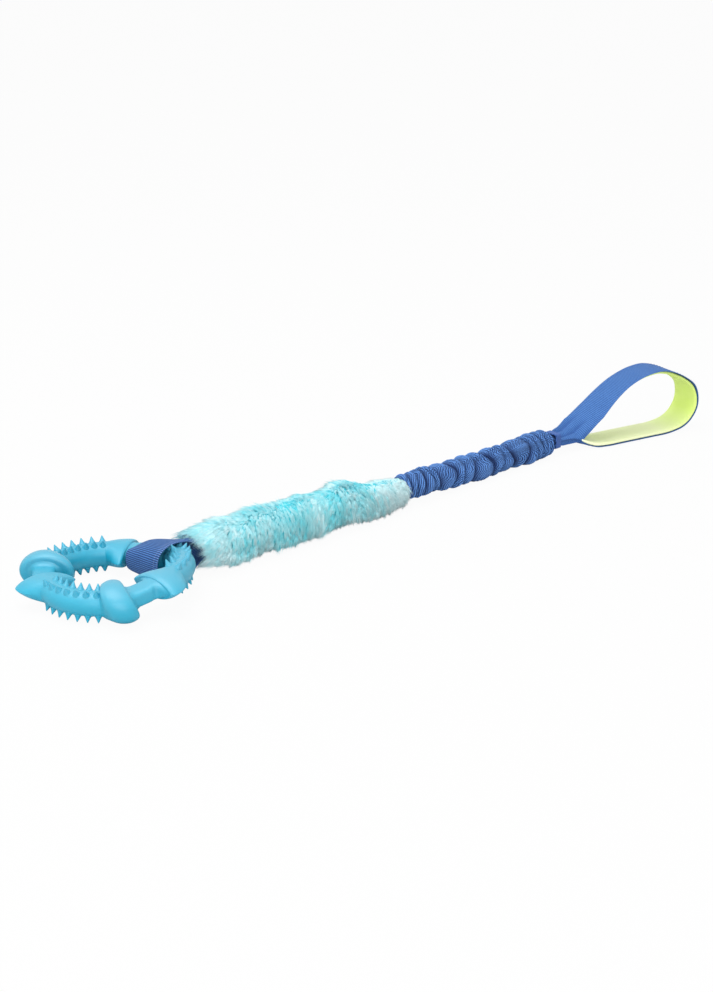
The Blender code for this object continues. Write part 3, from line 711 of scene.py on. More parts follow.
def strap_grid(line, normals, widths, centre, thickness, sag, columns):
    """Both faces of a strap on a grid: rows along its line, columns round its section.

    The section is a flat oval: the share s across runs 1 to -1 on the upper face and back on
    the lower one, and the thickness fades at the edges as (1 - s^8)^0.5. The sag is a function
    of the rows and s that moves the strap along its normals.
    """
    share = np.cos(np.linspace(0.0, math.pi, columns))
    share = np.concatenate([share, share[-2:0:-1]])
    side = np.concatenate([np.ones(columns), -np.ones(columns - 2)])
    half = side * thickness / 2 * np.clip(1.0 - share**8, 0.0, 1.0) ** 0.5
    across = centre[:, None] + share[None, :] * widths[:, None] / 2
    away = half[None, :] + sag(share[None, :])
    points = upright(line)[:, None, :] + upright(normals)[:, None, :] * away[..., None]
    points[..., 1] += across
    return points, across


def strap_uv(places, across):
    """Distances along and across a strap for each point of its tube, caps included."""
    along = np.repeat(places[:, None], across.shape[1], axis=1)
    uv = np.stack([along, across], axis=-1).reshape(-1, 2)
    return np.vstack([uv, [[places[0], 0.0], [places[-1], 0.0]]])


def loop_line(slack):
    """Middle line of the ring loop in its own plane, tails and the turn round the knuckle.

    The turn is an oval about the knuckle's middle, its cosine and sine raised to the power
    OVAL_POWER; the tails lie together inside the sleeve.
    """
    close = (STRAP_THICKNESS + SEAT_GAP) / 2
    reach = DOME[0] + slack + STRAP_THICKNESS / 2
    rise = DOME[1] * (1.0 - PINCH) + 1.4 * MM + STRAP_THICKNESS / 2
    tail, spread = -155.0 * MM, -129.0 * MM
    tails = (
        (tail, TAIL_OFFSET),
        (spread - 8.0 * MM, TAIL_OFFSET),
        (spread, TAIL_OFFSET),
        (spread + 9.0 * MM, close),
        (tail / 2, close),
        (-33.0 * MM, close),
        (-24.0 * MM, close),
    )
    upper = [(x, SLEEVE_HEIGHT + away) for x, away in tails]
    upper += [(x * MM, SLEEVE_HEIGHT + up * MM) for x, up in ((-12, 2.0), (0, 4.2), (10, 7.2))]
    turn = np.radians(np.arange(100.0, -101.0, -20.0))
    oval = [np.sign(part) * np.abs(part) ** OVAL_POWER for part in (np.cos(turn), np.sin(turn))]
    wrap = [(LOOP_REACH + reach * c, 12.4 * MM + rise * s) for c, s in zip(*oval)]
    lower = [(10.0 * MM, 4.5 * MM)]
    lower += [(x * MM, SLEEVE_HEIGHT - down * MM) for x, down in ((0, 6.5), (-12, 3.0))]
    lower += [(x, SLEEVE_HEIGHT - away) for x, away in tails[::-1]]
    return smooth_line(upper + wrap + lower, LINE_STEPS)


# Gathered cover

# Valleys: share along the cover, how far it leans, its bearing in degrees, fullness after it
FOLDS = (
    (0.000, 0.0, 0, 0.84),
    (0.040, 0.2, 20, 0.88),
    (0.076, 0.3, 40, 0.92),
    (0.116, 0.4, 60, 0.97),
    (0.151, 0.5, 210, 0.90),
    (0.193, 0.5, 230, 0.93),
    (0.278, 0.9, 160, 0.98),
    (0.348, 0.5, 60, 0.98),
    (0.411, 0.6, 120, 1.00),
    (0.503, 1.0, 200, 1.05),
    (0.585, 0.6, 60, 1.00),
    (0.646, 0.9, 220, 0.97),
    (0.741, 1.0, 130, 1.07),
    (0.801, 0.7, 240, 1.03),
    (0.835, 0.4, 150, 1.04),
    (0.858, 0.5, 110, 1.03),
    (0.882, 0.3, 60, 1.00),
    (0.905, 0.2, 20, 0.92),
    (0.924, 0.0, 0, 0.74),
)

# Closing sections at the hem and the neck: share of the cover's size, millimetres along
HEM_RING = (0.55, 1.0)
NECK_RINGS = ((0.94, 1.6), (1.06, 4.5), (1.10, 9.0), (0.80, 12.0))
NECK_ARCS = (1, 2, 4, 9)
# Painted shade on the neck's closing sections.
NECK_FOLD_SHADE = 0.45
COVER_WRAP = 58.0 * MM
PUCKER_LENGTH = 4.2 * MM


def stretch_height(along):
    """Height of the stretch section's middle: it drops from the sleeve to the floor."""
    start, end = SLEEVE_HEIGHT - 4.2 * MM, NECK_HEIGHT - 0.5 * MM
    return start + (end - start) * ease(along, 5.0 * MM, COVER_LENGTH * 0.45)
def cover_surface(look, per_fold, columns):
    """The bunched cover: folds that bulge between leaning valleys, with smaller puckers.

    Between two valleys the share f runs 0 to 1. The place along is (1 - f) of the first valley
    plus f of the second, and the radius is the fold's fullness less the fold depth times
    1 - sin(pi f)^0.55, plus puckers that run with the fold and fade at the valleys.
    """
    rng = np.random.default_rng(11)
    angle = np.arange(columns) * TAU / columns
    folds = np.array(FOLDS)
    leans = np.cos(angle[None, :] - np.radians(folds[:, 2, None]))
    edges = COVER_LENGTH * folds[:, 0, None] + look.lean * folds[:, 1, None] * leans
    wobble = rng.uniform(0.0, TAU, (len(folds), 8))
    held = np.sin(math.pi * np.clip(folds[:, :1] / folds[-1, 0], 0.0, 1.0)) ** 0.3
    wander = np.sin(2 * angle + wobble[:, :1]) + 0.7 * np.sin(3 * angle + wobble[:, 1:2])
    edges += held * look.wander * wander
    rows, radii, tucked = [], [], []
    for k in range(len(folds) - 1):
        f = (np.arange(per_fold) / per_fold)[:, None]
        rows.append((1 - f) * edges[k] + f * edges[k + 1])
        arch = np.sin(math.pi * f)
        bulge = arch**0.55
        depth = look.depth * (1.0 + 0.45 * np.sin(angle + wobble[k, 2]))
        full = (1 - f) * folds[k, 3] + f * folds[k + 1, 3]
        full = look.radius * (0.35 * full + 0.65 * folds[k, 3])
        uneven = 0.04 * np.sin(angle + wobble[k, 3]) + 0.03 * np.sin(2 * angle + wobble[k, 4])
        span = (folds[k + 1, 0] - folds[k, 0]) * COVER_LENGTH
        place = f * span / PUCKER_LENGTH + 0.45 * np.sin(angle + wobble[k, 5])
        tucks = -(np.abs(np.sin(TAU * place + wobble[k, 6])) ** 3)
        tucks = tucks * (0.5 + 0.5 * np.sin(3 * angle + wobble[k, 7]))
        pucker = look.pucker * tucks * arch**0.7 * min(1.0, span / (8.0 * MM))
        radii.append(full * (1.0 + uneven) - depth * (1.0 - bulge) + pucker)
        # How deep a point lies in its fold's valley, which the material paints as shade.
        tucked.append(1.0 - bulge - 0.35 * tucks * arch)
    rows.append(edges[-1:])
    tucked.append(np.ones((1, columns)))
    radii.append(np.full((1, columns), NECK_RADIUS))
    along, radius = np.vstack(rows), np.maximum(np.vstack(radii), 0.9 * NECK_RADIUS)
    run = np.hypot(np.diff(along, axis=0), np.diff(radius, axis=0))
    places = np.vstack([np.zeros((1, columns)), np.cumsum(run, axis=0)])
    ribbed = radius + look.rib_height * (np.abs(np.sin(math.pi * places / look.rib)) - 0.6)
    z = np.maximum(ribbed * np.sin(angle) + stretch_height(along), LEAST_HEIGHT)
    points = np.stack([along, ribbed * np.cos(angle), z], axis=-1)
    return points, places, np.vstack(tucked)


def shrunk_section(section, share, shift):
    """A section of the cover, drawn in to a share of its size and moved some mm along."""
    made = section.copy()
    middle = stretch_height(made[..., 0])
    made[..., 0] += shift * MM
    made[..., 1] *= share
    made[..., 2] = middle + (made[..., 2] - middle) * share
    return made


# Plush sleeve

# Outline of the pile: share along the sleeve, radius in millimetres
PILE_ROWS = (
    (-0.02, 9.6),
    (0.04, 12.8),
    (0.10, 14.9),
    (0.16, 14.2),
    (0.24, 14.4),
    (0.31, 15.6),
    (0.40, 14.7),
    (0.48, 13.8),
    (0.57, 13.1),
    (0.64, 13.0),
    (0.70, 15.3),
    (0.76, 14.0),
    (0.82, 12.0),
    (0.87, 11.5),
    (0.92, 11.2),
    (0.97, 9.4),
    (1.02, 7.0),
)

LOCK_RADIUS = 6.0 * MM
GROUND_SKIN = 0.3 * MM
WISP_SHARE = 0.14

# Rings of a strand: share of the way to its tip, share of its width
STRAND_STEPS = ((0.12, 1.0), (0.60, 0.95))
STRAND_POINTS = 7


def pile_height(along):
    """Height of the sleeve's middle over the floor: it sinks towards the stretch section."""
    share = along / SLEEVE_LENGTH
    sunk = 0.2 + 1.6 * ease(share, 0.0, 0.16) + 3.6 * ease(share, 0.66, 0.90)
    return SLEEVE_HEIGHT - MM * sunk


def root_radius(along, look):
    """Radius of the strands' ground: a little drawn in at the mouth, more at the end."""
    share = along / SLEEVE_LENGTH
    drawn = 1.6 * (1.0 - ease(share, -0.01, 0.08)) + 2.9 * ease(share, 0.72, 0.97)
    return look.root_radius - MM * drawn


def pile_radius(along, angle, look):
    """Radius of the pile's tips: a smooth outline along the sleeve with a few broad lumps."""
    share = along / SLEEVE_LENGTH
    table = smooth_line(PILE_ROWS, 8)
    outline = np.interp(share, table[:, 0], table[:, 1]) * MM * look.fullness
    lumps = 0.04 * np.sin(share * 27.0 + 1.7 * np.sin(angle))
    lumps = lumps + 0.03 * np.sin(share * 47.0 + 2 * angle)
    wide = 0.20 + 0.08 * (1.0 - ease(share, 0.5, 0.7)) + 0.10 * (1.0 - ease(share, 0.1, 0.3))
    spread = wide * np.clip(-np.sin(angle), 0.0, 1.0) ** 0.5 * np.abs(np.cos(angle))
    return outline * (1.0 + lumps + spread)


def lock_places(x, angle):
    """Places on a thin cylinder, on which strands find their nearest lock."""
    return np.column_stack([x, np.cos(angle) * LOCK_RADIUS, np.sin(angle) * LOCK_RADIUS])


def pile_clumps(look, rng):
    """Middles of the locks on a cylinder, and what each lock's strands share."""
    count = look.clumps
    x = rng.uniform(-0.02, 1.02, count) * SLEEVE_LENGTH
    centres = lock_places(x, rng.uniform(0.0, TAU, count))
    rough = waves(rng, centres, (0.012, 0.030), 8)
    return {
        "centres": centres,
        "full": rng.uniform(0.62, 1.14, count) + 0.14 * rough,
        "swirl": waves(rng, centres, (0.016, 0.045), 8),
        "drift": waves(rng, centres, (0.016, 0.045), 8),
        "ruffle": rng.normal(0.0, 0.8 * MM, (count, 2)),
        "drawn": rng.uniform(0.45, 0.90, count),
        "tint": waves(rng, centres, (0.008, 0.03), 6) + rng.normal(0.0, 0.75, count),
    }


def nearest_lock(places, centres):
    """For each place the lock whose middle is least far: least |c|^2 - 2 p . c."""
    square = (centres**2).sum(axis=1)
    parts = [
        np.argmin(square[None, :] - 2.0 * places[start : start + 4000] @ centres.T, axis=1)
        for start in range(0, len(places), 4000)
    ]
    return np.concatenate(parts)


def pile_strands(look, clumps, rng, count):
    """Roots, bends and tips of strands in locks, with their paleness, which holds a painted light.

    A strand starts on the ground at (x, angle). Its tip stands out by the pile's height and
    lies over by a downward share, a share along the sleeve and a slow swirl; then it is drawn
    towards the mean tip of its lock. A few wisps are longer and are drawn in less.
    """
    x = rng.uniform(-0.004, 1.004, count) * SLEEVE_LENGTH
    angle = rng.uniform(0.0, TAU, count)
    share, none = x / SLEEVE_LENGTH, np.zeros(count)
    nearest = nearest_lock(lock_places(x, angle), clumps["centres"])
    full, swirl, drift, ruffle, held, tint = (
        clumps[key][nearest] for key in ("full", "swirl", "drift", "ruffle", "drawn", "tint")
    )
    base = root_radius(x, look)
    out = np.column_stack([none, np.cos(angle), np.sin(angle)])
    around = np.column_stack([none, -np.sin(angle), np.cos(angle)])
    root = np.column_stack([x, none, pile_height(x)]) + out * base[:, None]
    wisp = rng.uniform(0.0, 1.0, count) < WISP_SHARE
    side = np.abs(np.cos(angle))
    top, low = np.clip(np.sin(angle), 0.0, 1.0), np.clip(-np.sin(angle), 0.0, 1.0)
    mouth, end = 1.0 - ease(share, 0.0, 0.10), ease(share, 0.86, 1.0)

    height = (pile_radius(x, angle, look) - base) * full
    height = height * rng.uniform(0.72, 1.06, count) * np.where(wisp, 1.22, 1.0)
    height = height * (1.0 - 0.35 * end * low)
    height = height * (1.0 + ease(share, 0.74, 0.86) * (0.30 * side - 0.40 * top))
    along = (2.4 * drift - 2.6 - 2.4 * top) * MM + ruffle[:, 0]
    along = along + (2.5 + 3.5 * np.sin(angle) + 3.0 * wisp) * MM * end
    along = along - (5.5 + 4.0 * top + 5.0 * wisp) * MM * mouth
    down = -np.sign(np.cos(angle)) * side**0.5 * look.fall * (0.80 + 0.25 * swirl)
    down = down * (1.0 - 0.5 * mouth) * (1.0 - 0.85 * low)
    down = down + 2.2 * MM * swirl * (1.0 - side) + ruffle[:, 1]
    flat = np.column_stack([along, none, none]) + around * down[:, None]
    tip = root + out * height[:, None] + flat

    locks = len(clumps["centres"])
    tips_held = np.maximum(np.bincount(nearest, minlength=locks), 1)
    mean_tip = np.zeros((locks, 3))
    np.add.at(mean_tip, nearest, tip)
    mean_tip /= tips_held[:, None]
    drawn = held * rng.uniform(0.75, 1.0, count) * np.where(wisp, 0.35, 1.0)
    drawn = drawn * (1.0 - 0.3 * top + 0.15 * low)
    tip = tip + (mean_tip[nearest] - tip) * drawn[:, None]
    tip += rng.normal(scale=0.35 * MM, size=(count, 3))
    bend = root + out * (height * 0.85)[:, None] + 0.30 * flat
    # Paleness: a random tone per lock and strand, paler towards both ends, and a painted light that
    # makes the upper and lower sides paler.
    pale = 0.20 + 0.26 * tint + rng.normal(0, 0.12, count)
    pale = pale + 0.85 * ease(share, 0.70, 0.95) + 0.30 * (1.0 - ease(share, 0.10, 0.40))
    return root, bend, tip, np.clip(pale + 0.25 * top + 0.45 * low, 0.0, 1.0)


def strand_mesh(name, root, bend, tip, tint, look):
    """One mesh of strands: a curve from root past bend to tip, with three sides and a point.

    The place at share t is (1 - t)^2 root + 2 t (1 - t) bend + t^2 tip.
    """
    count = len(root)
    run = tip - root
    run /= np.linalg.norm(run, axis=1)[:, None]
    side = np.cross(run, np.array((0.31, 0.77, -0.56)))
    side /= np.linalg.norm(side, axis=1)[:, None]
    other = np.cross(run, side)
    rings = []
    for t, width in STRAND_STEPS:
        middle = root * (1 - t) ** 2 + bend * 2 * t * (1 - t) + tip * t**2
        for turn in np.arange(3) * TAU / 3:
            reach = width * look.strand / 2
            rings.append(middle + reach * (side * math.cos(turn) + other * math.sin(turn)))
    points = np.stack([*rings, tip], axis=1)
    quads = copies(np.array([(0, 1, 4, 3), (1, 2, 5, 4), (2, 0, 3, 5)]), STRAND_POINTS, count)
    tris = copies(np.array([(3, 4, 6), (4, 5, 6), (5, 3, 6), (2, 1, 0)]), STRAND_POINTS, count)
    corners = np.concatenate([quads.ravel(), tris.ravel()])
    starts = [np.arange(len(quads)) * 4, quads.size + np.arange(len(tris)) * 3]
    mesh = bpy.data.meshes.new(name)
    mesh.vertices.add(count * STRAND_POINTS)
    mesh.vertices.foreach_set("co", points.ravel().astype(np.float32))
    mesh.loops.add(len(corners))
    mesh.loops.foreach_set("vertex_index", corners.astype(np.int32))
    mesh.polygons.add(len(quads) + len(tris))
    mesh.polygons.foreach_set("loop_start", np.concatenate(starts).astype(np.int32))
    piece = linked(name, mesh)
    mesh.update(calc_edges=True)
    write_value(piece, "height", np.tile([0.1] * 3 + [0.6] * 3 + [1.0], count))
    # Each strand's paleness, painted light included.
    write_value(piece, "tint", np.repeat(tint, STRAND_POINTS))
    return piece


def sleeve_to_frame(points):
    """From the sleeve's own axes, z measured from the floor, to the frame's axes."""
    return points + np.array((BEND_AT[0] - SLEEVE_LENGTH, BEND_AT[1], FLOOR))


# Hand loop

# Free part of the hand loop: share of its length, share of its height
HANDLE_ROWS = (
    (0.045, 0.300),
    (0.10, 0.365),
    (0.16, 0.450),
    (0.23, 0.560),
    (0.32, 0.708),
    (0.42, 0.846),
    (0.52, 0.936),
    (0.60, 0.978),
    (0.69, 0.988),
    (0.79, 0.930),
    (0.89, 0.815),
    (0.96, 0.680),
    (0.99, 0.500),
    (0.985, 0.320),
    (0.94, 0.160),
    (0.88, 0.070),
    (0.81, 0.030),
)
HANDLE_NECK_ROWS = ((0.21, 0.028), (0.13, 0.060), (0.06, 0.102))
HANDLE_FLAT_SHARES = (0.74, 0.65, 0.56, 0.47, 0.38, 0.30)

HANDLE_TAIL = 17.0 * MM
BAND_THICKNESS = 0.55 * MM
LINING_GAP = 0.03 * MM
LINING_SHARES = (0.117, 0.910)
STITCH_SHARES = (0.11, 0.93)
STITCH_STEP = 3.0 * MM
STITCH_HALF = 1.15 * MM
STITCH_INSET = 2.6 * MM
STITCH_SINK = 0.16 * MM
STITCH_RADIUS = 0.2 * MM


def handle_line():
    """Middle line of the hand loop's webbing: in from its upper tail, round and back."""
    top, low = NECK_HEIGHT + TAIL_OFFSET, NECK_HEIGHT - TAIL_OFFSET
    tails = (-HANDLE_TAIL, -HANDLE_TAIL / 2, 0.0)
    rows = [(HANDLE_LENGTH * x, HANDLE_HEIGHT * z) for x, z in HANDLE_ROWS]
    rows += [(HANDLE_LENGTH * x, STRAP_THICKNESS / 2) for x in HANDLE_FLAT_SHARES]
    rows += [(HANDLE_LENGTH * x, HANDLE_HEIGHT * z) for x, z in HANDLE_NECK_ROWS]
    rows = [(x, top) for x in tails] + rows + [(x, low) for x in tails[::-1]]
    return smooth_line(rows, LINE_STEPS)


def hand_loop_shape():
    """What the hand loop's pieces share: its line, widths, drawn-in edge and pleats.

    The webbing is narrow at the neck and widens towards the loop. Its near edge is drawn in
    there by a share of the gap between the upper and the lower run, which fades along it.
    """
    line, places = evenly(handle_line(), HAND_FINENESS[0])
    x, along = line[:, 0], places / places[-1]
    first = along < 0.5
    full = (11.0 + 14.0 * np.clip((x + 6.0 * MM) / (17.0 * MM), 0.0, 1.0)) * MM
    widths = (11.0 + 14.0 * np.clip((x + 6.0 * MM) / (31.0 * MM), 0.0, 1.0) ** 0.8) * MM
    half = len(line) // 2
    over, under = line[:half], line[half:][::-1]
    gap = np.interp(x, over[:, 0], over[:, 1]) - np.interp(x, under[:, 0], under[:, 1])
    upper_depth, lower_depth = 0.88 * np.clip(gap, 0.0, 12 * MM), 0.30 * np.clip(gap, 0.0, 9.5 * MM)
    upper_fade = (1.0 - np.clip((x - 8 * MM) / (54 * MM), 0.0, 1.0)) ** 2.2
    lower_fade = 1.0 - ease(x, 5 * MM, 24 * MM)
    drawn = np.where(first, upper_depth * upper_fade, lower_depth * lower_fade)
    return SimpleNamespace(
        line=line,
        normals=side_of(line),
        places=places,
        along=along,
        widths=widths,
        centre=(full - widths) / 2,
        drawn=drawn * ease(x, -15 * MM, -8 * MM),
        pleat=ease(x, -12 * MM, -4 * MM) * (1.0 - ease(x, 8 * MM, 24 * MM)),
    )


def edge_in(share):
    """How much of the drawn-in depth a share across takes: ((1 - s) / 2)^1.5."""
    return ((1.0 - share) / 2) ** 1.5


def pleats(share):
    """Two sines across the width: sin(9 s + 0.6) + sin(16 s + 2) / 2."""
    return np.sin(share * 9.0 + 0.6) + 0.5 * np.sin(share * 16.0 + 2.0)


def to_frame(origin, along, across, points):
    """From a joint's own axes, z measured from the floor, to the frame's axes."""
    place = points[..., :1] * along + points[..., 1:2] * across
    place = place + np.array((origin[0], origin[1], FLOOR))
    place[..., 2] += points[..., 2]
    return place


# Settings and operators

def colour_setting(name, description, default):
    """A colour that a user can change."""
    return FloatVectorProperty(
        name=name, description=description, default=default, subtype="COLOR", size=3
    )


def length_setting(name, description, default):
    """A length that a user can change, in metres."""
    return FloatProperty(name=name, description=description, default=default, unit="LENGTH")


class ChewRingSettings(bpy.types.PropertyGroup):
    """Colours of the moulded ring."""

    colour: colour_setting("Colour", "Rubber colour", (0.012, 0.38, 0.555))
    # The paler rubber colour of the painted sheen on the ring's upper side.
    bloom: colour_setting("Bloom", "Rubber colour where a bloom lies on it", (0.10, 0.385, 0.525))
    deep: colour_setting("Deep", "Rubber colour in its darker clouds", (0.004, 0.35, 0.52))
    facets: IntProperty(name="Facets", description="Points round the ring's section", default=72)


class StrapSettings(bpy.types.PropertyGroup):
    """Colours and rib of the webbing straps."""

    colour: colour_setting("Colour", "Webbing colour", (0.082, 0.225, 0.56))
    # Deep: the painted shade between the ribs and in the hand loop's pleat valleys.
    deep: colour_setting("Deep", "Webbing colour between its ribs", (0.034, 0.110, 0.34))
    pale: colour_setting("Pale", "Colour of the dotted lines", (0.36, 0.46, 0.78))
    rib: length_setting("Rib", "Distance between ribs", 0.0012)
    slack: length_setting("Slack", "Gap between the loop's turn and the knuckle", 0.0009)


class PileSettings(bpy.types.PropertyGroup):
    """Colours and sizes of the plush pile."""

    colour: colour_setting("Colour", "Pile colour", (0.17, 0.84, 0.92))
    # Root: the painted shade at the foot of the strands and on the under-pile.
    root: colour_setting("Root", "Colour at the foot of the strands", (0.03, 0.50, 0.60))
    # Tip: also the colour that the painted light on the pile's upper and lower sides mixes towards.
    tip: colour_setting("Tip", "Colour at the strands' tips", (0.82, 0.98, 1.0))
    fullness: FloatProperty(name="Fullness", description="Size of the pile's outline", default=0.97)
    root_radius: length_setting("Root radius", "Radius that the strands stand on", 0.0100)
    strand: length_setting("Strand", "Width of a strand", 0.00031)
    fall: length_setting("Fall", "How far the tips hang down", 0.0100)
    clumps: IntProperty(name="Clumps", description="Locks that the strands gather in", default=4000)
    count: IntProperty(name="Strands", description="Strands in each of the pieces", default=17000)
    pieces: IntProperty(
        name="Pieces", description="Pieces that the strands are split into", default=6
    )
    shading: IntProperty(
        name="Shading pieces",
        description="Pieces whose strands shade the others; the rest let light through",
        default=1,
    )


class CoverSettings(bpy.types.PropertyGroup):
    """Sizes of the gathered cover's folds."""

    colour: colour_setting("Colour", "Cover colour", (0.126, 0.315, 0.76))
    # Deep: the painted shade between the ribs and in the fold valleys.
    deep: colour_setting("Deep", "Cover colour between its ribs", (0.008, 0.030, 0.13))
    radius: length_setting("Radius", "Radius over the folds", 0.0099)
    depth: length_setting("Depth", "Depth of the valleys", 0.0053)
    lean: length_setting("Lean", "How far a leaning valley shifts", 0.0044)
    wander: length_setting("Wander", "How far a valley wanders", 0.0007)
    pucker: length_setting("Pucker", "Depth of the small puckers", 0.0011)
    rib: length_setting("Rib", "Distance between ribs", 0.0016)
    rib_height: length_setting("Rib height", "Height of the ribs", 0.00032)


class LiningSettings(bpy.types.PropertyGroup):
    """Colours and thickness of the hand loop's lining."""

    colour: colour_setting("Colour", "Lining colour", (0.80, 0.97, 0.30))
    # Deep: the darker clouds, and the painted shade in the knit's hollows.
    deep: colour_setting("Deep", "Lining colour in its darker clouds", (0.72, 0.92, 0.19))
    # Pale: the paler colour of the painted sheen on the lower run.
    pale: colour_setting("Pale", "Lining colour where it is rubbed pale", (0.97, 1.0, 0.70))
    thickness: length_setting("Thickness", "Lining thickness", 0.0026)


class StageSettings(bpy.types.PropertyGroup):
    """Light and camera."""

    key: FloatProperty(
        name="Key", description="Power of the large lamp", unit="POWER", default=16.0
    )
    fill: FloatProperty(
        name="Fill", description="Power of the lamp beside the camera", unit="POWER", default=10.0
    )
    world: FloatProperty(
        name="World", description="Strength of the light from all round", default=0.58
    )
    backdrop: FloatProperty(
        name="Backdrop", description="How white the floor looks to the camera", default=0.95
    )
    azimuth: FloatProperty(name="Azimuth", description="Camera's bearing in degrees", default=-42.2)
    elevation: FloatProperty(
        name="Elevation", description="Camera's height in degrees", default=20.5
    )
    distance: length_setting("Distance", "Camera's distance", 1.2)
    lens: FloatProperty(name="Lens", description="Focal length in millimetres", default=65.3)


class TUG_OT_chew_ring(bpy.types.Operator):
    """Make the moulded ring and its spikes"""

    bl_idname = "tug.chew_ring"
    bl_label = "Chew Ring"

    def execute(self, context):
        look = context.scene.tug_ring
        rubber = rubber_finish(look)
        grid = ring_surface(RING_ROWS_PER_SPAN, look.facets)
        points = ring_to_frame(grid.reshape(-1, 3))
        ring = mesh_object("chew_ring_body", points, grid_faces(*grid.shape[:2], True, True))
        point_out(ring)
        # Painted sheen: the ring is painted paler the higher it stands over the floor.
        write_value(ring, "bloom", ease(points[:, 2] - FLOOR, 8 * MM, 26 * MM))
        ring.data.set_sharp_from_angle(angle=math.radians(RING_SHARP_DEG))
        finish_piece(ring, rubber, "chew_ring", "chew_ring")
        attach(ring, "ring")
        points, faces = ring_spikes(SPIKE_SIDES)
        points = ring_to_frame(points)
        points[:, 2] = np.maximum(points[:, 2], FLOOR + LEAST_HEIGHT / 2)
        spikes = mesh_object("chew_ring_spikes", points, faces)
        # The same painted sheen on the spikes, a little weaker.
        write_value(spikes, "bloom", ease(points[:, 2] - FLOOR, 8 * MM, 27 * MM) * 0.8)
        finish_piece(spikes, rubber, "chew_ring")
        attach(spikes, "ring")
        return {"FINISHED"}


class TUG_OT_ring_loop(bpy.types.Operator):
    """Make the strap that loops round the ring's knuckle"""

    bl_idname = "tug.ring_loop"
    bl_label = "Ring Loop"

    def execute(self, context):
        look = context.scene.tug_strap
        rows, columns = LOOP_FINENESS
        line, places = evenly(loop_line(look.slack), rows)
        normals = side_of(line)
        x, upper = line[:, 0], normals[:, 1] > 0
        widths = 11.0 + 2.0 * ease(x, -160 * MM, -116 * MM) + 3.5 * ease(x, -12 * MM, 2 * MM)
        widths = (widths + 10.5 * ease(x, 4 * MM, 24 * MM)) * MM
        centre = -(LOOP_ACROSS + 1.0 * MM) * ease(x, -5 * MM, 30 * MM)
        curl = -4.2 * MM * ease(x, -24 * MM, 0.0) * (1.0 - ease(x, 6 * MM, 20 * MM))
        held = ease(x, 8 * MM, 26 * MM) * np.abs(normals[:, 1]) ** 2.5 * np.where(upper, 1.0, 0.2)
        droop = ease(x, -4 * MM, 6 * MM) * (1.0 - ease(x, 12 * MM, 28 * MM)) * upper

        def sag(share):
            """The mouth's edges curl in, and the turn hangs down over the rod's side."""
            rod_side, bar_side = np.clip(-share, 0.0, None), np.clip(share, 0.0, None)
            drape = 5.0 * MM * rod_side**1.8 - 1.8 * MM * bar_side**1.3
            fallen = 7.0 * MM * ((1.0 - share) / 2) ** 1.6
            return curl[:, None] * share**2 - held[:, None] * drape - droop[:, None] * fallen

        grid, across = strap_grid(line, normals, widths, centre, STRAP_THICKNESS, sag, columns)
        inside = 1.0 - ease(grid[..., 0].mean(axis=1), -8 * MM, 12 * MM)
        swept = turned(grid, -math.radians(LOOP_TAIL_TURN_DEG) * inside)
        swept[..., 2] += pile_height(np.clip(-swept[..., 0], 0.0, None)) - pile_height(0.0)
        swept[..., 2] = np.maximum(swept[..., 2], LEAST_HEIGHT / 2)
        strap = tube_object("ring_loop_strap", to_frame(LOOP_AT, LOOP_OUT, LOOP_SIDE, swept))
        write_uv(strap, strap_uv(places, across))
        webbing = webbing_finish(
            "ring_loop_weave", LOOP_RIB_SHADE, look.colour, LOOP_RIB, 0.5 * MM, look.pale, LOOP_LINE
        )
        finish_piece(strap, webbing, "ring_loop_webbing", "ring_loop_webbing")
        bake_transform(strap)
        return {"FINISHED"}


class TUG_OT_sleeve(bpy.types.Operator):
    """Make the plush sleeve: a ground of under-pile and its clumped strands"""

    bl_idname = "tug.sleeve"
    bl_label = "Plush Sleeve"

    def execute(self, context):
        look = context.scene.tug_pile
        grid = self.ground_grid(look, *GROUND_FINENESS)
        faces = grid_faces(*grid.shape[:2], True, True)
        ground = mesh_object("pile_ground", sleeve_to_frame(grid.reshape(-1, 3)), faces)
        point_out(ground)
        finish_piece(ground, ground_finish(look), "fur_sleeve", "fur_sleeve", "sleeve_backing")
        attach(ground, "sleeve")
        pile = pile_finish(look)
        rng = np.random.default_rng(5)
        clumps = pile_clumps(look, rng)
        for k in range(look.pieces):
            root, bend, tip, tint = pile_strands(look, clumps, rng, look.count)
            root, bend, tip = (sleeve_to_frame(part) for part in (root, bend, tip))
            tip[:, 2] = np.maximum(tip[:, 2], LEAST_HEIGHT)
            bend[:, 2] = np.maximum(bend[:, 2], 2 * LEAST_HEIGHT)
            strands = strand_mesh(f"pile_strands_{k + 1}", root, bend, tip, tint, look)
            finish_piece(strands, pile, "fur_sleeve")
            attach(strands, "sleeve")
            strands.visible_shadow = k < look.shading
        return {"FINISHED"}

    def ground_grid(self, look, rows, columns):
        """The ground's outer skin, then its inner one back, closed at both ends.

        The outer skin lies a share of the way from the strands' feet to the tips, with a
        little relief from two crossed sines, and comes down to the feet at both ends.
        """
        x = np.linspace(-0.004, 1.004, rows)[:, None] * SLEEVE_LENGTH
        angle = (np.arange(columns) * TAU / columns)[None, :]
        share, base = x / SLEEVE_LENGTH, root_radius(x, look)
        relief = 0.3 * MM * np.sin(x * 900 + 5 * angle) * np.sin(x * 600 - 3 * angle)
        rise = 0.42 * (pile_radius(x, angle, look) - base) + relief - GROUND_SKIN
        ends = ease(share, 0.0, 0.03) * ease(1.0 - share, 0.0, 0.05)
        outer = base + GROUND_SKIN + rise * ends
        inner = base[::-1] - 0.5 * MM + 0 * angle
        skins = []
        for along, radius in ((x, outer), (x[::-1], inner)):
            z = np.maximum(pile_height(along) + radius * np.sin(angle), GROUND_SKIN)
            skins.append(np.stack([along + 0 * angle, radius * np.cos(angle), z], axis=-1))
        return np.vstack(skins)


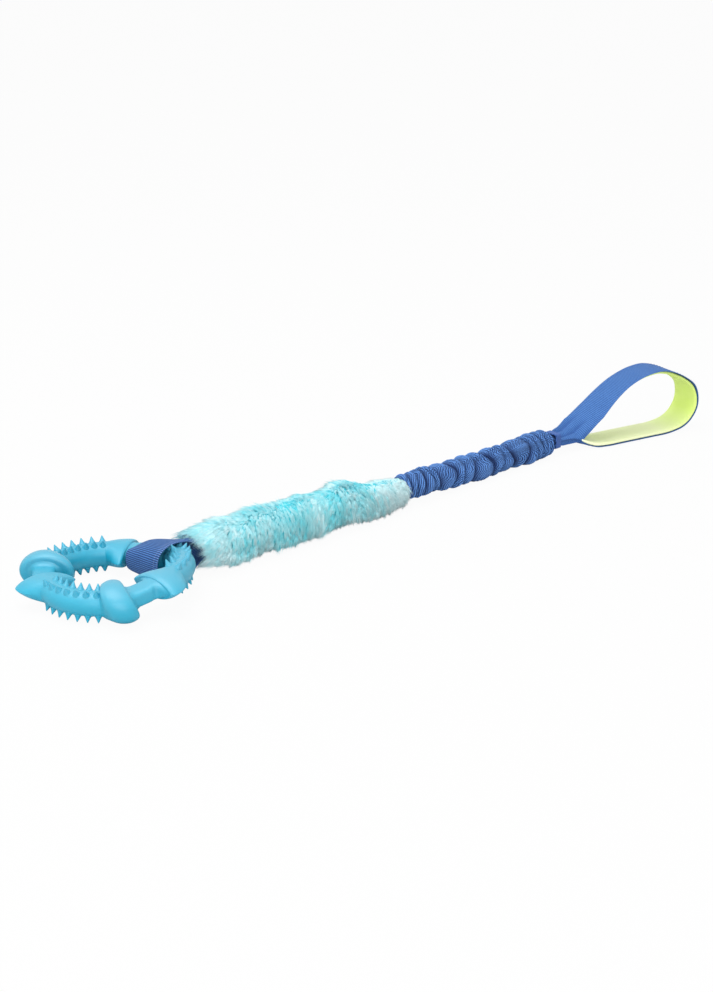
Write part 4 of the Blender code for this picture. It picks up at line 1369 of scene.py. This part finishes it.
class TUG_OT_stretch_cover(bpy.types.Operator):
    """Make the gathered cover and the elastic inside it"""

    bl_idname = "tug.stretch_cover"
    bl_label = "Gathered Cover"

    def execute(self, context):
        look = context.scene.tug_cover
        per_fold, columns = COVER_FINENESS
        points, arc, tuck = cover_surface(look, per_fold, columns)
        rings = [shrunk_section(points[:1], *HEM_RING), points]
        rings += [shrunk_section(points[-1:], *ring) for ring in NECK_RINGS]
        grid = np.vstack(rings)
        arc = np.vstack([arc[:1], arc] + [arc[-1:] + step * MM for step in NECK_ARCS])
        cover = tube_object("gathered_cover", to_frame(BEND_AT, BEND_X, BEND_Y, grid))
        around = np.abs(np.arange(columns) - columns / 2)[None, :] * (COVER_WRAP / columns)
        uv = np.stack([arc, np.repeat(around, len(grid), axis=0)], axis=-1).reshape(-1, 2)
        write_uv(cover, np.vstack([uv, [[0.0, 0.0], [arc[-1].mean(), 0.0]]]))
        # Painted shade in the fold valleys and on the neck.
        tuck = np.vstack([tuck[:1], tuck, np.full((len(NECK_RINGS), columns), NECK_FOLD_SHADE)])
        write_value(cover, "tuck", np.append(tuck, (1.0, 1.0)))
        webbing = webbing_finish(
            "cover_weave", look.deep, look.colour, look.rib, 0.6 * MM, tucked=0.9
        )
        finish_piece(cover, webbing, "bungee_cover", "bungee_cover")
        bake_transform(cover)
        return {"FINISHED"}


class TUG_OT_hand_loop(bpy.types.Operator):
    """Make the hand loop: webbing, lining and stitches"""

    bl_idname = "tug.hand_loop"
    bl_label = "Hand Loop"

    def execute(self, context):
        shape = hand_loop_shape()
        self.strap(shape, context.scene.tug_strap)
        self.lining(shape, context.scene.tug_lining)
        thread = thread_finish("blue_thread", *STITCH_COLOURS)
        for name, edge in (("left", 1.0), ("right", -1.0)):
            stitches = self.stitches(f"hand_loop_stitches_{name}", shape, edge)
            node = f"handle_stitch_row_{name}"
            finish_piece(stitches, thread, node, node)
            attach(stitches, "handle")
        return {"FINISHED"}

    def strap(self, shape, look):
        """The webbing: its neck is drawn in, pleated and turned in line with the cover."""

        def sag(share):
            """The neck's near edge is drawn in, with pleats that fade into the loop."""
            pleated = MM * shape.pleat[:, None] * pleats(share)
            return pleated - shape.drawn[:, None] * edge_in(share)

        run = shape.line, shape.normals, shape.widths, shape.centre
        grid, across = strap_grid(*run, BAND_THICKNESS, sag, HAND_FINENESS[1])
        back = math.acos(min(1.0, float(FOLD_X @ BEND_X)))
        swept = turned(grid, back * (1.0 - ease(grid[..., 0].mean(axis=1), -4 * MM, 4 * MM)))
        strap = tube_object("hand_loop_strap", to_frame(FOLD_AT, FOLD_X, FOLD_Y, swept))
        write_uv(strap, strap_uv(shape.places, across))
        # Painted shade in the pleats' valleys.
        share = 2.0 * (across - shape.centre[:, None]) / shape.widths[:, None]
        tuck = shape.pleat[:, None] * np.clip(-pleats(share), 0.0, 1.0)
        write_value(strap, "tuck", np.append(tuck, (0.0, 0.0)))
        webbing = webbing_finish(
            "hand_loop_weave", look.deep, look.colour, look.rib, 0.3 * MM, tucked=0.8
        )
        finish_piece(strap, webbing, "handle_webbing", "handle_webbing")
        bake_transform(strap)

    def lining(self, shape, look):
        """The padded lining inside the webbing, thinner and narrower at both ends."""
        start, end = LINING_SHARES
        held = (shape.along > start) & (shape.along < end)
        along, drawn = shape.along[held], shape.drawn[held][:, None]
        ends = ease(along, start, 0.128) * (1.0 - ease(along, 0.897, end))
        upper = 1.0 - ease(along, 0.40, 0.54)
        width = (shape.widths[held] - (0.2 + 6.2 * upper) * MM) * (0.6 + 0.4 * ends)
        inwards = -(BAND_THICKNESS + look.thickness) / 2 - LINING_GAP

        def crown(share):
            """The lining stands fuller in its middle and is drawn in with the webbing."""
            full = 0.25 * MM * (1.0 - share**2) * ends[:, None]
            return inwards - drawn * edge_in(share) - full

        run = shape.line[held], shape.normals[held], width, shape.centre[held]
        pad, across = strap_grid(*run, look.thickness, crown, HAND_FINENESS[1])
        middle = pad.mean(axis=1, keepdims=True)
        pad = middle + (pad - middle) * (0.55 + 0.45 * ends[:, None, None])
        piece = tube_object("hand_loop_lining", to_frame(FOLD_AT, FOLD_X, FOLD_Y, pad))
        write_uv(piece, strap_uv(shape.places[held], across))
        finish_piece(piece, lining_finish(look), "handle_padding", "handle_padding")
        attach(piece, "handle")

    def stitches(self, name, shape, edge):
        """One row of stitches: each a short round bar whose ends sink into the webbing.

        At the share s along a stitch it is sunk by s^4 and its radius follows (1.04 - s^2)^0.5.
        """
        rows, sides = STITCH_FINENESS
        steps, turns = np.linspace(-1.0, 1.0, rows), np.arange(sides) * TAU / sides
        start, end = (share * shape.places[-1] for share in STITCH_SHARES)
        spots = np.arange(start, end, STITCH_STEP)[:, None] + steps * STITCH_HALF
        columns = (*shape.line.T, *shape.normals.T, shape.widths, shape.drawn, shape.centre)
        x, z, n_x, n_z, width, drawn, middle = (
            np.interp(spots, shape.places, column) for column in columns
        )
        across = edge * (width / 2 - STITCH_INSET)
        reach = BAND_THICKNESS / 2 - STITCH_SINK * steps**4 - drawn * edge_in(2 * across / width)
        thick = STITCH_RADIUS * np.sqrt(np.clip(1.04 - steps**2, 0.0, 1.0))[:, None]
        base = np.stack([x + n_x * reach, middle + across, z + n_z * reach], axis=-1)
        normal = np.stack([n_x, 0 * n_x, n_z], axis=-1)
        ring = base[:, :, None] + normal[:, :, None] * (thick * np.cos(turns))[..., None]
        ring[..., 1] += thick * np.sin(turns)
        faces = copies(grid_faces(rows, sides, wrap_columns=True), rows * sides, len(spots))
        return mesh_object(name, to_frame(FOLD_AT, FOLD_X, FOLD_Y, ring.reshape(-1, 3)), faces)


class TUG_OT_inner_pieces(bpy.types.Operator):
    """Finish the pieces that show only a little: threads and elastic"""

    bl_idname = "tug.inner_pieces"
    bl_label = "Inner Pieces"

    def execute(self, context):
        blue = thread_finish("blue_binding", *BINDING_COLOURS)
        pale = thread_finish("pale_thread", *GATHER_COLOURS)
        for node in ("ring_loop_stitching", "neck_stitching"):
            paint_node(node, blue)
        self.elastic(thread_finish("pale_elastic", *ELASTIC_COLOURS))
        binding = self.thread_ring("elastic_binding", 7.0, 3.1, 0.45, 0.1, 9)
        finish_piece(binding, blue, "cord_stitching_sleeve_end", "cord_stitching_sleeve_end")
        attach(binding, "sleeve")
        gather = self.thread_ring("gather_thread", 0.6, 7.7, 0.35, 0.25, 14)
        finish_piece(gather, pale, "sleeve_gather_thread", "sleeve_gather_thread")
        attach(gather, "sleeve")
        return {"FINISHED"}

    def elastic(self, material):
        """The elastic inside the gathered cover, and its sewn tail, which stays in the sleeve."""
        rows, near = ELASTIC_FINENESS[0], COVER_LENGTH - 8.0 * MM
        cord = self.elastic_length("elastic", -1.0 * MM, near, rows)
        finish_piece(cord, material, "elastic_cord", "elastic_cord")
        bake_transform(cord)
        tail = self.elastic_length("elastic_tail", -18.0 * MM, 0.5 * MM, ELASTIC_TAIL_ROWS)
        finish_piece(tail, material, "elastic_cord")
        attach(tail, "sleeve")

    def elastic_length(self, name, start, end, rows):
        """A round length of the elastic: its middle follows the stretch section's height."""
        x = np.linspace(start, end, rows)
        sides = ELASTIC_FINENESS[1]
        turn = np.arange(sides) * TAU / sides
        z = stretch_height(x)[:, None] + ELASTIC_RADIUS * np.sin(turn)
        y = ELASTIC_RADIUS * np.cos(turn)[None, :] + 0 * z
        grid = np.stack([x[:, None] + 0 * z, y, z], axis=-1)
        return tube_object(name, to_frame(BEND_AT, BEND_X, BEND_Y, grid))

    def thread_ring(self, name, inside, radius, thick, lift, waves_round):
        """A closed ring of thread, so many millimetres inside the sleeve's end.

        Its radius waves by a sine round it, and its section is flattened along the sleeve.
        """
        around, turn = (np.arange(count) * TAU / count for count in THREAD_FINENESS)
        x = SLEEVE_LENGTH - inside * MM
        wide = radius + lift * np.sin(waves_round * around)
        reach = (wide[:, None] + thick * np.cos(turn)) * MM
        height = pile_height(x) + reach * np.sin(around)[:, None]
        along = x + thick * MM * 1.6 * np.sin(turn) + 0 * reach
        grid = np.stack([along, reach * np.cos(around)[:, None], height], axis=-1)
        faces = grid_faces(*THREAD_FINENESS, True, True)
        ring = mesh_object(name, sleeve_to_frame(grid.reshape(-1, 3)), faces)
        point_out(ring)
        return ring


class TUG_OT_stage(bpy.types.Operator):
    """Make the pale floor, the soft light and the camera"""

    bl_idname = "tug.stage"
    bl_label = "Floor, Light and Camera"

    def execute(self, context):
        scene, look = context.scene, context.scene.tug_stage
        scene.view_settings.view_transform = "Standard"
        self.floor(look)
        self.light_world(scene, look)
        for name, (place, width, setting) in LAMPS.items():
            self.lamp(scene, name, place, width, getattr(look, setting))
        self.camera(scene, look)
        return {"FINISHED"}

    def floor(self, look):
        """A plain floor that looks near white to the camera and keeps the toy's shadow."""
        corners = np.array([(-1, -1, 0), (1, -1, 0), (1, 1, 0), (-1, 1, 0)]) * FLOOR_HALF
        floor = mesh_object("pale_floor", corners, np.array([(0, 1, 2, 3)]))
        made = Finish("pale_floor")
        made.set(Base_Color=FLOOR_GREY, Roughness=0.9)
        white = made.node("ShaderNodeEmission", {}, {"Color": WHITE, "Strength": 1.0})
        seen = made.number("ShaderNodeLightPath", output="Is Camera Ray")
        shaders = {0: seen * look.backdrop, 1: made.shader.outputs[0], 2: white.outputs[0]}
        mixed = made.node("ShaderNodeMixShader", {}, shaders)
        made.feed(made.tree.nodes["Material Output"].inputs["Surface"], mixed.outputs[0])
        floor.data.materials.append(made.material)

    def light_world(self, scene, look):
        """White to the camera and to reflections, and a plain level of light for the rest."""
        scene.world = bpy.data.worlds.new("white_room")
        scene.world.use_nodes = True
        made = Nodes(scene.world.node_tree)
        background = made.tree.nodes["Background"]
        paths = made.node("ShaderNodeLightPath").outputs
        camera, glossy, through = (
            Value(made, paths[f"Is {kind} Ray"]) for kind in ("Camera", "Glossy", "Transmission")
        )
        level = {0: camera.most(glossy).most(through), 3: look.world, 4: 1.0}
        made.feed(background.inputs["Color"], WHITE)
        made.feed(background.inputs["Strength"], made.number("ShaderNodeMapRange", {}, level))

    def lamp(self, scene, name, place, size, power):
        """A round soft lamp that looks at the middle of the floor."""
        data = bpy.data.lights.new(name, "AREA")
        data.shape = "DISK"
        data.size = size
        data.energy = power
        self.put(scene, name, data, np.array(place), np.zeros(3))

    def camera(self, scene, look):
        """The camera on a sphere round its target, at an azimuth and an elevation."""
        centre = ring_axes()[0]
        target = np.array((centre[0] + VIEW_SHIFT[0], centre[1] + VIEW_SHIFT[1], 0.0))
        a, e = math.radians(look.azimuth), math.radians(look.elevation)
        back = np.array((math.sin(a) * math.cos(e), -math.cos(a) * math.cos(e), math.sin(e)))
        data = bpy.data.cameras.new("photo_view")
        data.lens = look.lens
        data.sensor_width = SENSOR_WIDTH
        data.clip_start = 0.05
        data.clip_end = 50.0
        scene.camera = self.put(scene, "photo_view", data, target + back * look.distance, target)

    def put(self, scene, name, data, place, target):
        """A lamp or camera at a place, looking at a target with Z up."""
        made = bpy.data.objects.new(name, data)
        made.location = place
        made.rotation_euler = Vector(target - place).to_track_quat("-Z", "Y").to_euler()
        scene.collection.objects.link(made)
        return made


OPERATORS = (
    TUG_OT_stage,
    TUG_OT_chew_ring,
    TUG_OT_ring_loop,
    TUG_OT_sleeve,
    TUG_OT_stretch_cover,
    TUG_OT_hand_loop,
    TUG_OT_inner_pieces,
)


class TUG_PT_panel(bpy.types.Panel):
    """The pieces of the tug toy, in the order that they are made."""

    bl_idname = "TUG_PT_panel"
    bl_label = "Bungee Tug Toy"
    bl_space_type = "VIEW_3D"
    bl_region_type = "UI"
    bl_category = "Tug Toy"

    def draw(self, context):
        for operator in OPERATORS:
            self.layout.operator(operator.bl_idname)
        for name in SETTINGS:
            box = self.layout.box()
            group = getattr(context.scene, name)
            for key in group.__annotations__:
                box.prop(group, key)


SETTINGS = {
    "tug_ring": ChewRingSettings,
    "tug_strap": StrapSettings,
    "tug_pile": PileSettings,
    "tug_cover": CoverSettings,
    "tug_lining": LiningSettings,
    "tug_stage": StageSettings,
}


def register():
    """Add the settings, the operators and the panel."""
    for name, group in SETTINGS.items():
        bpy.utils.register_class(group)
        setattr(bpy.types.Scene, name, PointerProperty(type=group))
    for operator in OPERATORS:
        bpy.utils.register_class(operator)
    bpy.utils.register_class(TUG_PT_panel)


def unregister():
    """Take them all away again."""
    bpy.utils.unregister_class(TUG_PT_panel)
    for operator in OPERATORS[::-1]:
        bpy.utils.unregister_class(operator)
    for name, group in SETTINGS.items():
        delattr(bpy.types.Scene, name)
        bpy.utils.unregister_class(group)


def main():
    """Make the stage and every piece in order."""
    register()
    bpy.ops.tug.stage()
    bpy.ops.tug.chew_ring()
    bpy.ops.tug.ring_loop()
    bpy.ops.tug.sleeve()
    bpy.ops.tug.stretch_cover()
    bpy.ops.tug.hand_loop()
    bpy.ops.tug.inner_pieces()


if __name__ == "__main__":
    main()
